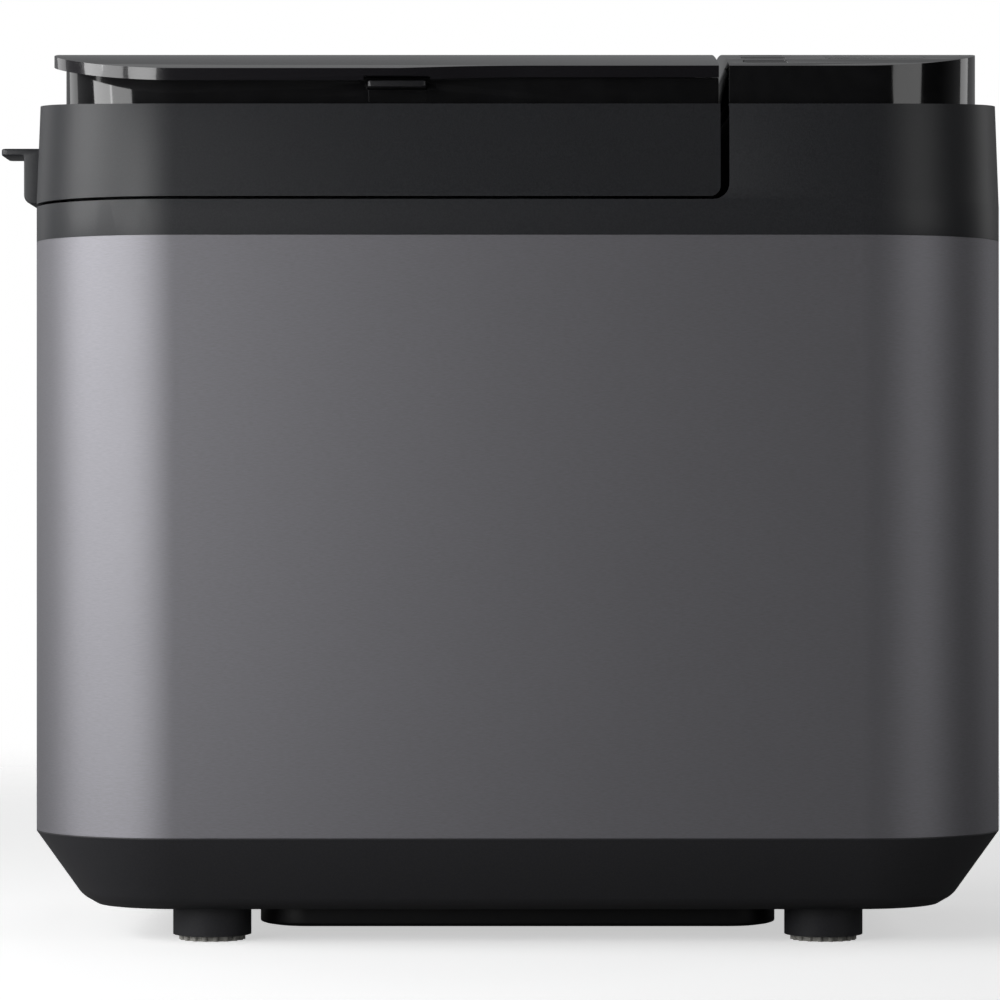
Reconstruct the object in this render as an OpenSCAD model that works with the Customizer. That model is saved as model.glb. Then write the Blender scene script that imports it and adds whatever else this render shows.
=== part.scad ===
// Bread machine with a side control panel, a rear-hinged lid and a covered dispenser.
// +Z is up, +X runs along the front to the control panel and -Y faces the user.
// The origin is on the floor, under the middle of the whole width with the lift tab.

/* [Case] */
// Width of the steel case, along the front
case_w = 391; // [370:1:420]
// Depth of the case, front to back
case_d = 236; // [225:1:260]
// Plan radius of the case corners
corner_r = 60; // [45:1:70]
// Height of the brushed steel wrap
wrap_h = 238; // [210:1:290]
// Thickness of the steel wrap
wrap_t = 0.8; // [0.6:0.1:1.2]
// Height of the band of the top frame that shows under the lid
band_h = 14; // [12:1:18]
// Height of the matte lid wall above the band, up to its shoulder
lid_wall_h = 37.6; // [34:0.2:46]
// Rise of the shoulder from the front edge to the middle of the depth
shoulder_rise = 4.8; // [3:0.1:6]
// Height of the crowned top above the shoulder's front edge, at the middle of the depth
crown_h = 28.4; // [27:0.2:32]
// Radius of the crowned top, across the depth
crown_r = 475; // [440:5:600]
// Inset of the moulded walls at the shoulder, from their draft
draft = 1.6; // [0.8:0.1:2.4]
// Wall of the moulded plastic covers
wall = 2.5; // [2:0.1:3]

/* [Base] */
// Height of a foot, from the floor to the base
foot_h = 14; // [10:1:20]
// Radius of a foot post
foot_r = 15.8; // [12:0.2:18]
// Radius of a rubber foot pad
pad_r = 13.4; // [10:0.2:15]
// Height of a foot pad that shows below its post
pad_h = 2.2; // [1.5:0.1:3]
// Distance between the feet along X
foot_span_x = 247; // [220:1:260]
// Distance between the feet along Y
foot_span_y = 142; // [130:1:160]
// Height of the tapered base
base_h = 30; // [28:1:40]
// Inset of the tapered base wall above its lower rounding
base_inset = 18.5; // [12:0.5:24]
// Height of the steep chamfer round the lower edge
base_nose_h = 3.5; // [2:0.5:5]
// Further inset of that chamfer
base_nose = 6; // [4:0.5:8]
// Width of the belly pan under the belt drive
belly_w = 210; // [200:1:214]
// Depth of the belly pan
belly_d = 140; // [110:1:144]
// Clearance of the belly pan above the floor
belly_lift = 4.1; // [3:0.1:6]

/* [Lid] */
// Distance from the left wall to the right end of the lid
lid_w = 275.2; // [262:0.2:280]
// Gap between the lid and the control housing
side_gap = 3.6; // [2:0.1:5]
// Gap between the lid and the band
seam_gap = 1.2; // [1:0.1:2]
// Radius of the lid's rear barrel about its hinge
barrel_r = 10; // [9:0.5:11]
// Radius of the lid hinge pins
lid_pin_r = 3; // [2.5:0.1:3.5]
// Inset of the glossy riser behind the lid wall
riser_inset = 12; // [11:0.5:14]
// Thickness of the glossy dispenser cover
cover_t = 4.6; // [4:0.1:5.5]
// Inset of the cover's front edge, right of its swell
cover_front = 9.6; // [8:0.2:11]
// Inset of the swollen front edge left of the middle
cover_swell = 3; // [2:0.2:6]
// Inset of the cover's left end
cover_left = 7.6; // [6:0.2:9]
// Width of the cover's catch
catch_w = 23; // [18:1:28]
// Reach of the lift tab beyond the left wall
tab_reach = 17; // [14:1:22]
// Width of the lift tab, along Y
tab_w = 30; // [26:1:60]
// Middle of the lift tab's width, in front of the middle of the depth
tab_y = -23; // [-30:1:0]

/* [Chamber] */
// Inner width of the baking chamber
tub_w = 214; // [208:1:220]
// Inner depth of the baking chamber
tub_d = 174; // [168:1:180]
// Corner radius of the chamber
tub_r = 30; // [20:1:36]
// Thickness of the chamber's sheet
tub_t = 1; // [0.8:0.1:1.5]
// Height of the chamber floor above the chassis plate
tub_lift = 12; // [11:0.5:14]
// Space between the bread pan's rim wall and the chamber along X
pan_gap_x = 14; // [12:0.5:20]
// Space between the bread pan's rim wall and the chamber along Y
pan_gap_y = 19; // [16:0.5:26]
// Height of the bread pan's wall
pan_h = 120; // [110:1:124]
// Inset of the pan's walls at the bottom
pan_draft = 8; // [5:0.5:10]
// Thickness of the pan's wall
pan_t = 1.8; // [1.5:0.1:2.5]
// Radius of the bail's wire
bail_r = 2; // [1.5:0.1:2.2]
// Radius of the heater tube
heater_r = 3.3; // [2.8:0.1:3.6]

/* [Drive] */
// Distance between the drive shaft and the motor shaft
belt_run = 192; // [186:1:198]
// Radius of the big pulley's rim under the belt
drive_pulley_r = 44; // [38:1:46]
// Radius of the motor pulley under the belt
motor_pulley_r = 11; // [9:0.5:14]
// Width of the belt
belt_w = 8; // [6:0.5:9]
// Thickness of the belt
belt_t = 1.6; // [1.2:0.1:2]
// Radius of the drive shaft
shaft_r = 4; // [3:0.1:5]
// Radius of the motor's can
motor_r = 41; // [36:1:43]
// Height of the motor's can
motor_h = 66; // [55:1:80]

/* [Panel] */
// Inset of the glossy control panel from the case
panel_inset = 9.6; // [9:0.1:11]
// Travel of a key
key_travel = 0.8; // [0.5:0.1:1]
// Width of a small key
key_w = 17; // [14:1:19]
// Depth of a small key
key_d = 9; // [8:0.5:9.5]
// Gap around a key
key_gap = 0.35; // [0.3:0.05:0.5]
// Width of the display window
display_w = 40; // [34:1:44]
// Depth of the display window
display_d = 62; // [50:1:66]

/* [Hidden] */
$fn = 96;
fit = 0.05; // running clearance of a pin or shaft, on the radius
slip = 0.15; // clearance of a cover in the opening that it passes through
far = 500; // longer than the whole object, for cuts

// Heights, from the floor up
base_top = foot_h + base_h;
wrap_top = base_top + wrap_h;
band_top = wrap_top + band_h;
lid_z = band_top + seam_gap;
shoulder_z = band_top + lid_wall_h;
shoulder_under = shoulder_z - 2.8;
crown_z = shoulder_z + crown_h;
shoulder_r = pow(case_d / 2, 2) / (2 * shoulder_rise);
ledge_z = shoulder_under - 1;
deck_top = band_top - 2.6;
deck_t = 2.2;
chassis_t = 1.5;
chassis_z = base_top;
chassis_top = chassis_z + chassis_t;

// Places in plan, from the middle of the case
case_x = tab_reach / 2;
lid_right = -case_w / 2 + lid_w;
housing_left = lid_right + side_gap;
tub_x = (-case_w / 2 + lid_right) / 2;
motor_x = tub_x + belt_run;
motor_y = 0;
foot_x = foot_span_x / 2;
foot_y = foot_span_y / 2;

// Lid hinge, dispenser cover hinge
hinge_y = case_d / 2 - barrel_r;
hinge_z = lid_z + 7.8;
ear_r = 5.5;
ear_t = 5;
ear_x = [tub_x - 62, tub_x + 88];
cover_pin_r = 1.1;
cover_ear_r = 2.2;
cover_hinge_y = case_d / 2 - riser_inset + 3.2;
cover_hinge_z = crown_at(cover_hinge_y) - cover_t - 2.5;
cover_back = case_d / 2 - cover_hinge_y - 1.6;
cover_ear_x = [tub_x - 70, tub_x + 70];
cover_gap = 0.6;
tray_drop = 3;

// Liner under the lid, seal and dispensers
liner_z = lid_z + 5.8;
liner_t = 1.2;
seal_t = 4;
nut_w = 84;
nut_d = 56;
nut_x = tub_x - 46;
nut_y = 8;
nut_wall = 1.6;
yeast_r = 19;
yeast_x = tub_x + 36;
yeast_y = 8;
yeast_throat = 9;
flap_t = 1.6;
flap_pin_r = 1;
flap_barrel_r = 2;
nut_hinge_y = nut_y + nut_d / 2 + 2.5;
yeast_flap_w = 24;
yeast_hinge_y = yeast_y + yeast_flap_w / 2 + 2.2;
flap_z = liner_z + 0.2;
box_z = flap_z + flap_t + 0.3;

// Catch of the dispenser cover
catch_x = tub_x + 10;
catch_h = 2.4;
notch_w = catch_w + 3.4;
catch_z = crown_at(case_d / 2 - cover_swell) - cover_t - 2.8;

// Chamber, pan and drive, from the chassis up
tub_z = chassis_top + tub_lift;
tub_floor = tub_z + tub_t;
tub_top = deck_top - deck_t;
pan_z = tub_floor + 27;
pan_top = pan_z + pan_h;
pan_r = 24;
pan_lip = 3.6;
skirt_r = 36;
skirt_t = 3;
skirt_h = 16;
seat_gap = 0.5;
bail_z = pan_top + 5;
pan_w = tub_w - 2 * pan_gap_x;
pan_d = tub_d - 2 * pan_gap_y;
bail_x = pan_w / 2 + 7;
bail_reach = pan_d / 2 - 1;
grip_r = 4.2;
belt_z = foot_h + 12;
pulley_flange = 1.6;
hub_r = 14;
bush_t = 2.2;
dog_z = tub_floor + 5.5;
dog_h = 8;
prong_h = 8;
prong_r = 2.6;
prong_at = 10;
wing_z = dog_z + dog_h + 1.5;
wing_h = 6;
pan_shaft_top = pan_z + 30;
heater_z = tub_floor + 15;
heater_x = tub_w / 2 - 9;
heater_y = tub_d / 2 - 9;
heater_bend = 22;
heater_gap = 14;
sensor_z = tub_floor + 62;
sensor_r = 4;
sensor_travel = 3;
sensor_gap = 1.8;

// Control panel
panel_left = housing_left + 0.3;
panel_right = case_w / 2 - panel_inset;
key_x = panel_left + 15;
key_pitch = 16;
key_y0 = -case_d / 2 + panel_inset + 14;
column_keys = 5;
wide_key_w = 20;
display_x = (panel_left + panel_right) / 2 + 9;
display_y = key_y0 + 11 + display_d / 2;
row_key_x = [display_x - 12, display_x + 12];
panel_t = 2.2;
key_deep = 7;
board_z = crown_at(-case_d / 2 + panel_inset) - 12;
board_t = 1.6;

// Height of the crowned top at a distance y from the middle of the depth
function crown_at(y) = crown_z - crown_r + sqrt(crown_r * crown_r - y * y);

// Points of an arc about c, from angle a to angle b
function arc(c, r, a, b, n) = [for (i = [0:n]) c + r * [cos(a + (b - a) * i / n), sin(a + (b - a) * i / n)]];

// S-curve from 0 to 1
function ease(t) = t * t * (3 - 2 * t);

module at_case() { translate([case_x, 0, 0]) children(); }

// Everything under a cylinder that lies along X, with its crest at height z
module under_crown(z, r) {
  translate([0, 0, z - r]) rotate([0, 90, 0]) cylinder(r = r, h = 2 * far, center = true, $fn = 720);
}

// Upright block with round corners, standing at z
module block(w, d, r, z, h) {
  translate([0, 0, z]) {
    for (sx = [-1, 1], sy = [-1, 1]) translate([sx * (w / 2 - r), sy * (d / 2 - r), 0]) cylinder(r = r, h = h);
    translate([-w / 2, -d / 2 + r, 0]) cube([w, d - 2 * r, h]);
    translate([-w / 2 + r, -d / 2, 0]) cube([w - 2 * r, d, h]);
  }
}

// The same block with its walls leaning, inset by lo at the bottom and hi at the top
module lean(w, d, r, z, h, lo, hi) {
  run = d - 2 * r;
  span = w - 2 * r;
  translate([0, 0, z]) {
    for (sx = [-1, 1], sy = [-1, 1]) translate([sx * (w / 2 - r), sy * (d / 2 - r), 0])
      cylinder(h = h, r1 = r - lo, r2 = r - hi);
    translate([0, run / 2, 0]) rotate([90, 0, 0]) linear_extrude(run)
      polygon([[-w / 2 + lo, 0], [w / 2 - lo, 0], [w / 2 - hi, h], [-w / 2 + hi, h]]);
    translate([-span / 2, 0, 0]) rotate([90, 0, 90]) linear_extrude(span)
      polygon([[-d / 2 + lo, 0], [d / 2 - lo, 0], [d / 2 - hi, h], [-d / 2 + hi, h]]);
  }
}

module left_of(x) { translate([x - 2 * far, -far, -far]) cube(2 * far); }
module right_of(x) { translate([x, -far, -far]) cube(2 * far); }

// Upright tube wall between two round-cornered outlines
module tube_block(w, d, r, t, z, h) {
  difference() {
    block(w, d, r, z, h);
    block(w - 2 * t, d - 2 * t, r - t, z - 1, h + 2);
  }
}

// Round-headed screw with its head's seat at z, pointing down
module screw(z, r, len, head_r, head_h) {
  translate([0, 0, z - len]) cylinder(r = r, h = len);
  difference() {
    translate([0, 0, z]) cylinder(r1 = head_r, r2 = head_r * 0.8, h = head_h);
    translate([-head_r * 0.6, -0.4, z + head_h * 0.55]) cube([head_r * 1.2, 0.8, head_h]);
    translate([-0.4, -head_r * 0.6, z + head_h * 0.55]) cube([0.8, head_r * 1.2, head_h]);
  }
}

// Base: tapered shell with foot posts, belly pan and pads
base_run = base_h - base_nose_h;
base_slope = base_inset / base_run;
boss_r = 5;
boss_x = [-foot_x, 0, foot_x];
boss_y = foot_y + 9;
belly_lip = 8;
belly_r = 20;
belly_bulge = 1.6;
belly_flare = 12;
gland_x = foot_x;
gland_z = foot_h + base_h / 2;
gland_r = 7;
gland_bore = 3.4;
gland_out = case_d / 2 - 2;
gland_in = case_d / 2 - 22;
gland_head = 9;
gland_nut_t = 2;
vent_w = 3;
vent_l = 34;
vent_count = 7;

module at_feet() { for (sx = [-1, 1], sy = [-1, 1]) translate([sx * foot_x, sy * foot_y, 0]) children(); }

module base_shell() {
  color("#202022") at_case() difference() {
    union() {
      difference() {
        union() {
          lean(case_w, case_d, corner_r, foot_h, base_nose_h, base_inset + base_nose, base_inset);
          lean(case_w, case_d, corner_r, foot_h + base_nose_h, base_run, base_inset, 0);
        }
        lean(case_w - 2 * wall, case_d - 2 * wall, corner_r - wall, foot_h + base_nose_h, base_run + 1,
          base_inset, -base_slope);
      }
      for (x = boss_x, sy = [-1, 1]) translate([x, sy * boss_y, foot_h + 1]) cylinder(r = boss_r, h = base_h - 1);
    }
    block(belly_w - 2 * belly_lip, belly_d - 2 * belly_lip, belly_r - belly_lip, foot_h - 1, base_nose_h + 2);
    for (x = boss_x, sy = [-1, 1]) translate([x, sy * boss_y, base_top - screw_l]) cylinder(r = screw_r, h = screw_l + 1);
    translate([gland_x, gland_in - 1, gland_z]) rotate([-90, 0, 0]) cylinder(r = gland_r, h = case_d);
    for (i = [1:vent_count]) translate([-foot_x - foot_r - 4 - i * 2 * vent_w + 4, -vent_l / 2, foot_h - 1])
      cube([vent_w, vent_l, base_nose_h + 2]);
  }
}

module belly_pan() {
  rise = foot_h - belly_lift - belly_bulge;
  color("#29292b") at_case() difference() {
    union() {
      block(belly_w, belly_d, belly_r, foot_h - rise, rise);
      lean(belly_w, belly_d, belly_r, belly_lift, belly_bulge, belly_flare, 0);
    }
    block(belly_w - 2 * wall, belly_d - 2 * wall, belly_r - wall, belly_lift + wall, foot_h);
  }
}

// Posts that stand under the flat floor of the base
module foot_posts() {
  color("#202022") at_case() at_feet() translate([0, 0, pad_h]) cylinder(r = foot_r, h = foot_h - pad_h);
}

module foot_pads() {
  bump_r = 1.1;
  bumps = 18;
  color("#b9b7b2") at_case() at_feet() difference() {
    union() {
      cylinder(r = pad_r - bump_r, h = pad_h);
      for (i = [0:bumps - 1]) rotate([0, 0, i * 360 / bumps]) translate([pad_r - bump_r, 0, 0])
        cylinder(r = bump_r, h = pad_h, $fn = 24);
    }
    translate([0, 0, pad_h - 1]) cylinder(r = pad_r / 3, h = 2);
  }
}

// Chassis: the plate that carries the oven, the motor and the electrics
plate_gap = 0.4;
screw_r = 1.5;
screw_l = 9;
screw_head = 3;
screw_head_h = 1.8;
bearing_r = 15;
motor_hole = 16;

module chassis_plate() {
  color("#8d8f92") at_case() difference() {
    block(case_w - 2 * (wrap_t + plate_gap), case_d - 2 * (wrap_t + plate_gap), corner_r - wrap_t - plate_gap,
      chassis_z, chassis_t);
    for (x = boss_x, sy = [-1, 1]) translate([x, sy * boss_y, chassis_z - 1]) cylinder(r = screw_r, h = chassis_t + 2);
    translate([tub_x, 0, chassis_z - 1]) cylinder(r = bearing_r, h = chassis_t + 2);
    translate([motor_x, motor_y, chassis_z - 1]) cylinder(r = motor_hole, h = chassis_t + 2);
    for (i = [0:vent_count - 1]) translate([tub_x - 75 + i * 25, -8, chassis_z - 1])
      if (abs(i - 3) > 1) cube([4, 16, chassis_t + 2]);
  }
}

module body_wrap() {
  color("#8f8e93") at_case() tube_block(case_w, case_d, corner_r, wrap_t, base_top, wrap_h);
}

// Top frame: band, deck round the chamber, hinge ears and the housing under the control panel
collar_t = 3;
collar_h = 5.2;
housing_r = 6.5;
rim_t = 2;

module lid_axis() { translate([0, hinge_y, hinge_z]) rotate([0, 90, 0]) children(); }

// Outline of the moulded top, from the band up to the shoulder
module top_form(z, inset, under) {
  intersection() {
    lean(case_w - 2 * inset, case_d - 2 * inset, corner_r - inset, z, shoulder_z + shoulder_rise - z, 0, draft);
    under_crown(shoulder_z + shoulder_rise - under, shoulder_r);
  }
}

// Space of the lid over the frame, with a round lower corner next to the housing
module lid_space() {
  top = 2 * far;
  translate([0, far, 0]) rotate([90, 0, 0]) linear_extrude(2 * far) difference() {
    translate([-far, band_top]) square([far + housing_left, top]);
    difference() {
      translate([housing_left - housing_r, band_top]) square(housing_r);
      translate([housing_left - housing_r, band_top + housing_r]) circle(r = housing_r);
    }
  }
}

module frame_ears() {
  for (x = ear_x) translate([x, 0, 0]) {
    lid_axis() cylinder(r = ear_r, h = ear_t, center = true);
    translate([-ear_t / 2, hinge_y - ear_r, deck_top - 1]) cube([ear_t, 2 * ear_r, hinge_z - deck_top + 1]);
  }
}

module top_frame() {
  color("#2e2f31") at_case() difference() {
    union() {
      difference() {
        union() {
          block(case_w, case_d, corner_r, wrap_top, band_h);
          top_form(band_top - 1, 0, 0);
        }
        lid_space();
        // Hollow under the deck and inside the housing
        block(case_w - 2 * wall, case_d - 2 * wall, corner_r - wall, wrap_top - 1, deck_top - deck_t - wrap_top + 1);
        intersection() {
          top_form(wrap_top, wall, wall);
          right_of(housing_left + wall);
        }
        // Recess of the deck inside the band
        intersection() {
          block(case_w - 2 * rim_t, case_d - 2 * rim_t, corner_r - rim_t, deck_top, band_h);
          left_of(housing_left - housing_r);
        }
        // Relief for the end of the lid's rail, which swings down into it
        translate([housing_left - housing_r - 1, rail_y - 1, deck_top])
          cube([lid_right + slot_gap - housing_left + housing_r + 1, case_d / 2 - rim_t - rail_y + 1, barrel_r * 2]);
        // Opening for the control panel
        panel_plug(slip, shoulder_under - 1, crown_h + 10);
      }
      translate([tub_x, 0, 0]) block(tub_w + 2 * collar_t, tub_d + 2 * collar_t, tub_r + collar_t, deck_top - 1, collar_h + 1);
      frame_ears();
    }
    translate([tub_x, 0, 0]) block(tub_w, tub_d, tub_r, wrap_top - 1, band_h + collar_h + 5);
    for (x = ear_x) translate([x, 0, 0]) lid_axis() cylinder(r = lid_pin_r + fit, h = ear_t + 2, center = true);
  }
}

// Round-cornered plug that stands on the housing's shoulder
module panel_plug(extra, z, h) {
  intersection() {
    block(case_w - 2 * panel_inset + 2 * extra, case_d - 2 * panel_inset + 2 * extra,
      corner_r - panel_inset + extra, z, h);
    right_of(panel_left - extra - 1);
  }
}

// Oven: chamber, heater, sensor, shield and the seat that holds the pan
flange_w = 6;
leg_w = 12;
leg_t = 4;
bracket_w = 5;
shield_x = tub_x + tub_w / 2 + 16;
shield_t = 0.8;
shield_w = 200;
shield_z = chassis_top;
seat_h = 20;
seat_t = 3;
seat_ledge = skirt_r - skirt_t - 1;
terminal_y = tub_d / 2 + 14;

module oven_tub() {
  color("#6f7275") at_case() translate([tub_x, 0, 0]) difference() {
    union() {
      block(tub_w + 2 * tub_t, tub_d + 2 * tub_t, tub_r + tub_t, tub_z, tub_top - tub_z);
      block(tub_w + 2 * flange_w, tub_d + 2 * flange_w, tub_r + flange_w, tub_top - tub_t, tub_t);
    }
    block(tub_w, tub_d, tub_r, tub_floor, tub_top);
    translate([0, 0, tub_z - 1]) cylinder(r = hub_r, h = tub_t + 2);
    for (sx = [-1, 1]) translate([sx * heater_gap, 0, heater_z]) rotate([-90, 0, 0]) cylinder(r = heater_r, h = tub_d);
    translate([0, 0, sensor_z]) rotate([90, 0, 0]) cylinder(r = sensor_r + fit, h = tub_d);
  }
}

module tub_legs() {
  color("#8d8f92") at_case() translate([tub_x, 0, 0])
    for (sx = [-1, 1], sy = [-1, 1]) translate([sx * tub_w / 3, sy * tub_d / 3, chassis_top]) difference() {
      translate([-leg_w / 2, -leg_w, 0]) cube([leg_w, 2 * leg_w, tub_lift]);
      translate([-leg_w / 2 - 1, -leg_w + leg_t, -1]) cube([leg_w + 2, 2 * (leg_w - leg_t), tub_lift - 1]);
    }
}

module heater() {
  straight_x = 2 * (heater_x - heater_bend);
  straight_y = 2 * (heater_y - heater_bend);
  color("#4a4746") at_case() translate([tub_x, 0, heater_z]) {
    for (sx = [-1, 1]) {
      translate([sx * heater_x, straight_y / 2, 0]) rotate([90, 0, 0]) cylinder(r = heater_r, h = straight_y);
      translate([sx * heater_gap, heater_y, 0]) sphere(r = heater_r);
      translate([sx * heater_gap, heater_y, 0]) rotate([-90, 0, 0]) cylinder(r = heater_r, h = terminal_y - heater_y);
      translate([sx * heater_gap, heater_y, 0]) rotate([0, sx * 90, 0])
        cylinder(r = heater_r, h = heater_x - heater_bend - heater_gap);
    }
    for (a = [0:90:270]) translate([(a % 270 == 0 ? 1 : -1) * straight_x / 2, (a < 180 ? 1 : -1) * straight_y / 2, 0])
      rotate([0, 0, a]) rotate_extrude(angle = 90) translate([heater_bend, 0]) circle(r = heater_r, $fn = 32);
    translate([-straight_x / 2, -heater_y, 0]) rotate([0, 90, 0]) cylinder(r = heater_r, h = straight_x);
  }
}

module heater_brackets() {
  color("#9a9c9e") at_case() translate([tub_x, 0, 0]) for (sx = [-1, 1], sy = [-1, 1]) difference() {
    translate([sx * heater_x - heater_r - 1.5, sy * heater_y / 3 - bracket_w / 2, tub_floor])
      cube([2 * heater_r + 3, bracket_w, heater_z + heater_r + 1.5 - tub_floor]);
    translate([sx * heater_x, 0, heater_z]) rotate([90, 0, 0]) cylinder(r = heater_r, h = tub_d, center = true);
  }
}

module temperature_sensor() {
  tip_y = -pan_d / 2 + pan_draft * (pan_top - sensor_z) / pan_h - sensor_gap;
  color("#b5b7b9") at_case() translate([tub_x, 0, sensor_z]) {
    translate([0, tip_y, 0]) rotate([90, 0, 0]) cylinder(r = sensor_r, h = tub_d / 2 + tub_t + 10 + tip_y);
    translate([0, -tub_d / 2 - tub_t - 0.3 - sensor_travel, 0]) rotate([90, 0, 0]) cylinder(r = sensor_r + 2.5, h = 1.5);
  }
}

module heat_shield() {
  color("#a5a6a8") at_case() difference() {
    union() {
      translate([shield_x, -shield_w / 2, shield_z]) cube([shield_t, shield_w, tub_top - shield_z - 8]);
      translate([shield_x, -shield_w / 2, shield_z]) cube([10, shield_w, shield_t]);
    }
    for (i = [-3:3]) translate([shield_x - 1, i * 24 - 6, tub_top - 50]) cube([shield_t + 2, 12, 4]);
  }
}

module pan_seat() {
  color("#85888b") at_case() translate([tub_x, 0, tub_floor]) difference() {
    cylinder(r = skirt_r + seat_gap + seat_t, h = seat_h);
    translate([0, 0, pan_z - skirt_h - 0.3 - tub_floor]) cylinder(r = skirt_r + seat_gap, h = seat_h);
    translate([0, 0, -1]) cylinder(r = seat_ledge, h = seat_h + 2);
  }
}

// Drive: bearing, shaft, pulleys, belt and dog
housing_low = chassis_z - 10;
shaft_low = belt_z - belt_w / 2 - pulley_flange - 2;
shaft_top = dog_z + dog_h / 2;
dog_w = 6;
dog_l = 28;
prong_y = dog_w / 2 + prong_r + 0.3;

module bearing_housing() {
  color("#7c7e80") at_case() translate([tub_x, 0, 0]) difference() {
    union() {
      translate([0, 0, housing_low]) cylinder(r = hub_r, h = tub_floor + 3 - housing_low);
      translate([0, 0, chassis_top]) cylinder(r = hub_r + 9, h = 3);
    }
    translate([0, 0, housing_low - 1]) cylinder(r = shaft_r + fit, h = far);
  }
}

module drive_shaft() {
  color("#c3c5c8") at_case() translate([tub_x, 0, shaft_low]) cylinder(r = shaft_r, h = shaft_top - shaft_low);
}

// Flanged pulley centred on the belt, with lightening holes when it is large
module pulley(rim, bore, holes) {
  reach = belt_w / 2 + 0.6;
  difference() {
    union() {
      translate([0, 0, belt_z - reach]) cylinder(r = rim, h = 2 * reach);
      for (s = [-1, 1]) translate([0, 0, belt_z + s * (reach + pulley_flange / 2) - pulley_flange / 2])
        cylinder(r = rim + belt_t + 0.8, h = pulley_flange);
    }
    translate([0, 0, belt_z - 2 * reach]) cylinder(r = bore, h = 4 * reach);
    for (i = [1:holes]) rotate([0, 0, i * 360 / max(holes, 1)]) translate([rim * 0.6, 0, belt_z - 2 * reach])
      cylinder(r = rim * 0.2, h = 4 * reach);
  }
}

module drive_pulley() { color("#d8d6cf") at_case() translate([tub_x, 0, 0]) pulley(drive_pulley_r, shaft_r, 6); }

module drive_coupling() {
  color("#9fa1a4") at_case() translate([tub_x, 0, 0]) difference() {
    union() {
      translate([-dog_l / 2, -dog_w / 2, dog_z]) cube([dog_l, dog_w, dog_h]);
      translate([0, 0, dog_z - 1.5]) cylinder(r = shaft_r + 3, h = 1.5);
    }
    translate([0, 0, dog_z - 3]) cylinder(r = shaft_r, h = shaft_top - dog_z + 3);
  }
}

module drive_belt() {
  lean_a = asin((drive_pulley_r - motor_pulley_r) / belt_run);
  gap = 0.3;
  module loop(extra) {
    polygon(concat(
      arc([0, 0], drive_pulley_r + extra, 90 - lean_a, 270 + lean_a, 48),
      arc([belt_run, 0], motor_pulley_r + extra, lean_a - 90, 90 - lean_a, 24)));
  }
  color("#17171a") at_case() translate([tub_x, 0, belt_z - belt_w / 2]) linear_extrude(belt_w) difference() {
    loop(gap + belt_t);
    loop(gap);
  }
}

// Motor and electrics
motor_z = chassis_top + 4;
motor_shaft_low = belt_z - belt_w / 2 - 3;

module motor() {
  color("#a9abad") at_case() translate([motor_x, motor_y, motor_z]) difference() {
    union() {
      cylinder(r = motor_r - 3, h = motor_h);
      translate([0, 0, motor_h * 0.22]) cylinder(r = motor_r, h = motor_h * 0.5);
      cylinder(r = 12, h = motor_h + 5);
      translate([0, 0, -3]) cylinder(r = 12, h = 4);
    }
    translate([0, 0, -4]) cylinder(r = 3 + fit, h = motor_h + 7);
    for (i = [0:7]) rotate([0, 0, i * 45 + 22.5]) translate([motor_r * 0.62, 0, motor_h - 4]) cylinder(r = 5, h = 6);
  }
}

module motor_shaft() {
  color("#c3c5c8") at_case() translate([motor_x, motor_y, motor_shaft_low]) cylinder(r = 3, h = motor_z + 40 - motor_shaft_low);
}

module motor_pulley() { color("#b4b6b9") at_case() translate([motor_x, motor_y, 0]) pulley(motor_pulley_r, 3, 0); }

module motor_feet() {
  color("#26262a") at_case() for (a = [45:90:315]) translate([motor_x, motor_y, 0]) rotate([0, 0, a])
    translate([motor_r - 9, 0, chassis_top]) cylinder(r = 5, h = motor_z - chassis_top);
}

module run_capacitor() {
  color("#3b4a63") at_case() translate([motor_x - 34, -case_d / 2 + 34, chassis_top]) {
    cylinder(r = 17, h = 46);
    for (s = [-1, 1]) translate([s * 6 - 2.5, -0.4, 45]) cube([5, 0.8, 9]);
  }
}

module power_board() {
  color("#2f5b3a") at_case() translate([motor_x - 40, case_d / 2 - 60, chassis_top]) {
    for (x = [4, 62], y = [4, 38]) translate([x, y, 0]) cylinder(r = 2.5, h = 6);
    translate([0, 0, 6]) cube([66, 42, 1.6]);
    translate([6, 8, 7.6]) cube([26, 22, 20]);
    translate([40, 8, 7.6]) cube([18, 14, 14]);
    translate([46, 31, 7.6]) cylinder(r = 5, h = 16);
  }
}

module cord_gland() {
  color("#1b1b1d") at_case() translate([gland_x, 0, gland_z]) rotate([-90, 0, 0]) difference() {
    union() {
      translate([0, 0, gland_in]) cylinder(r = gland_r, h = gland_out - gland_in);
      translate([0, 0, gland_out - 3]) cylinder(r1 = gland_head, r2 = gland_head - 1.5, h = 3);
      translate([0, 0, gland_in]) cylinder(r = gland_head, h = gland_nut_t);
    }
    translate([0, 0, gland_in - 1]) cylinder(r = gland_bore, h = case_d);
  }
}

// Bread pan with its bail, bush and shaft
rim_h = 3;
ear_w = 12;
bush_r = shaft_r + bush_t;
paddle_hub = 10;

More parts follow.
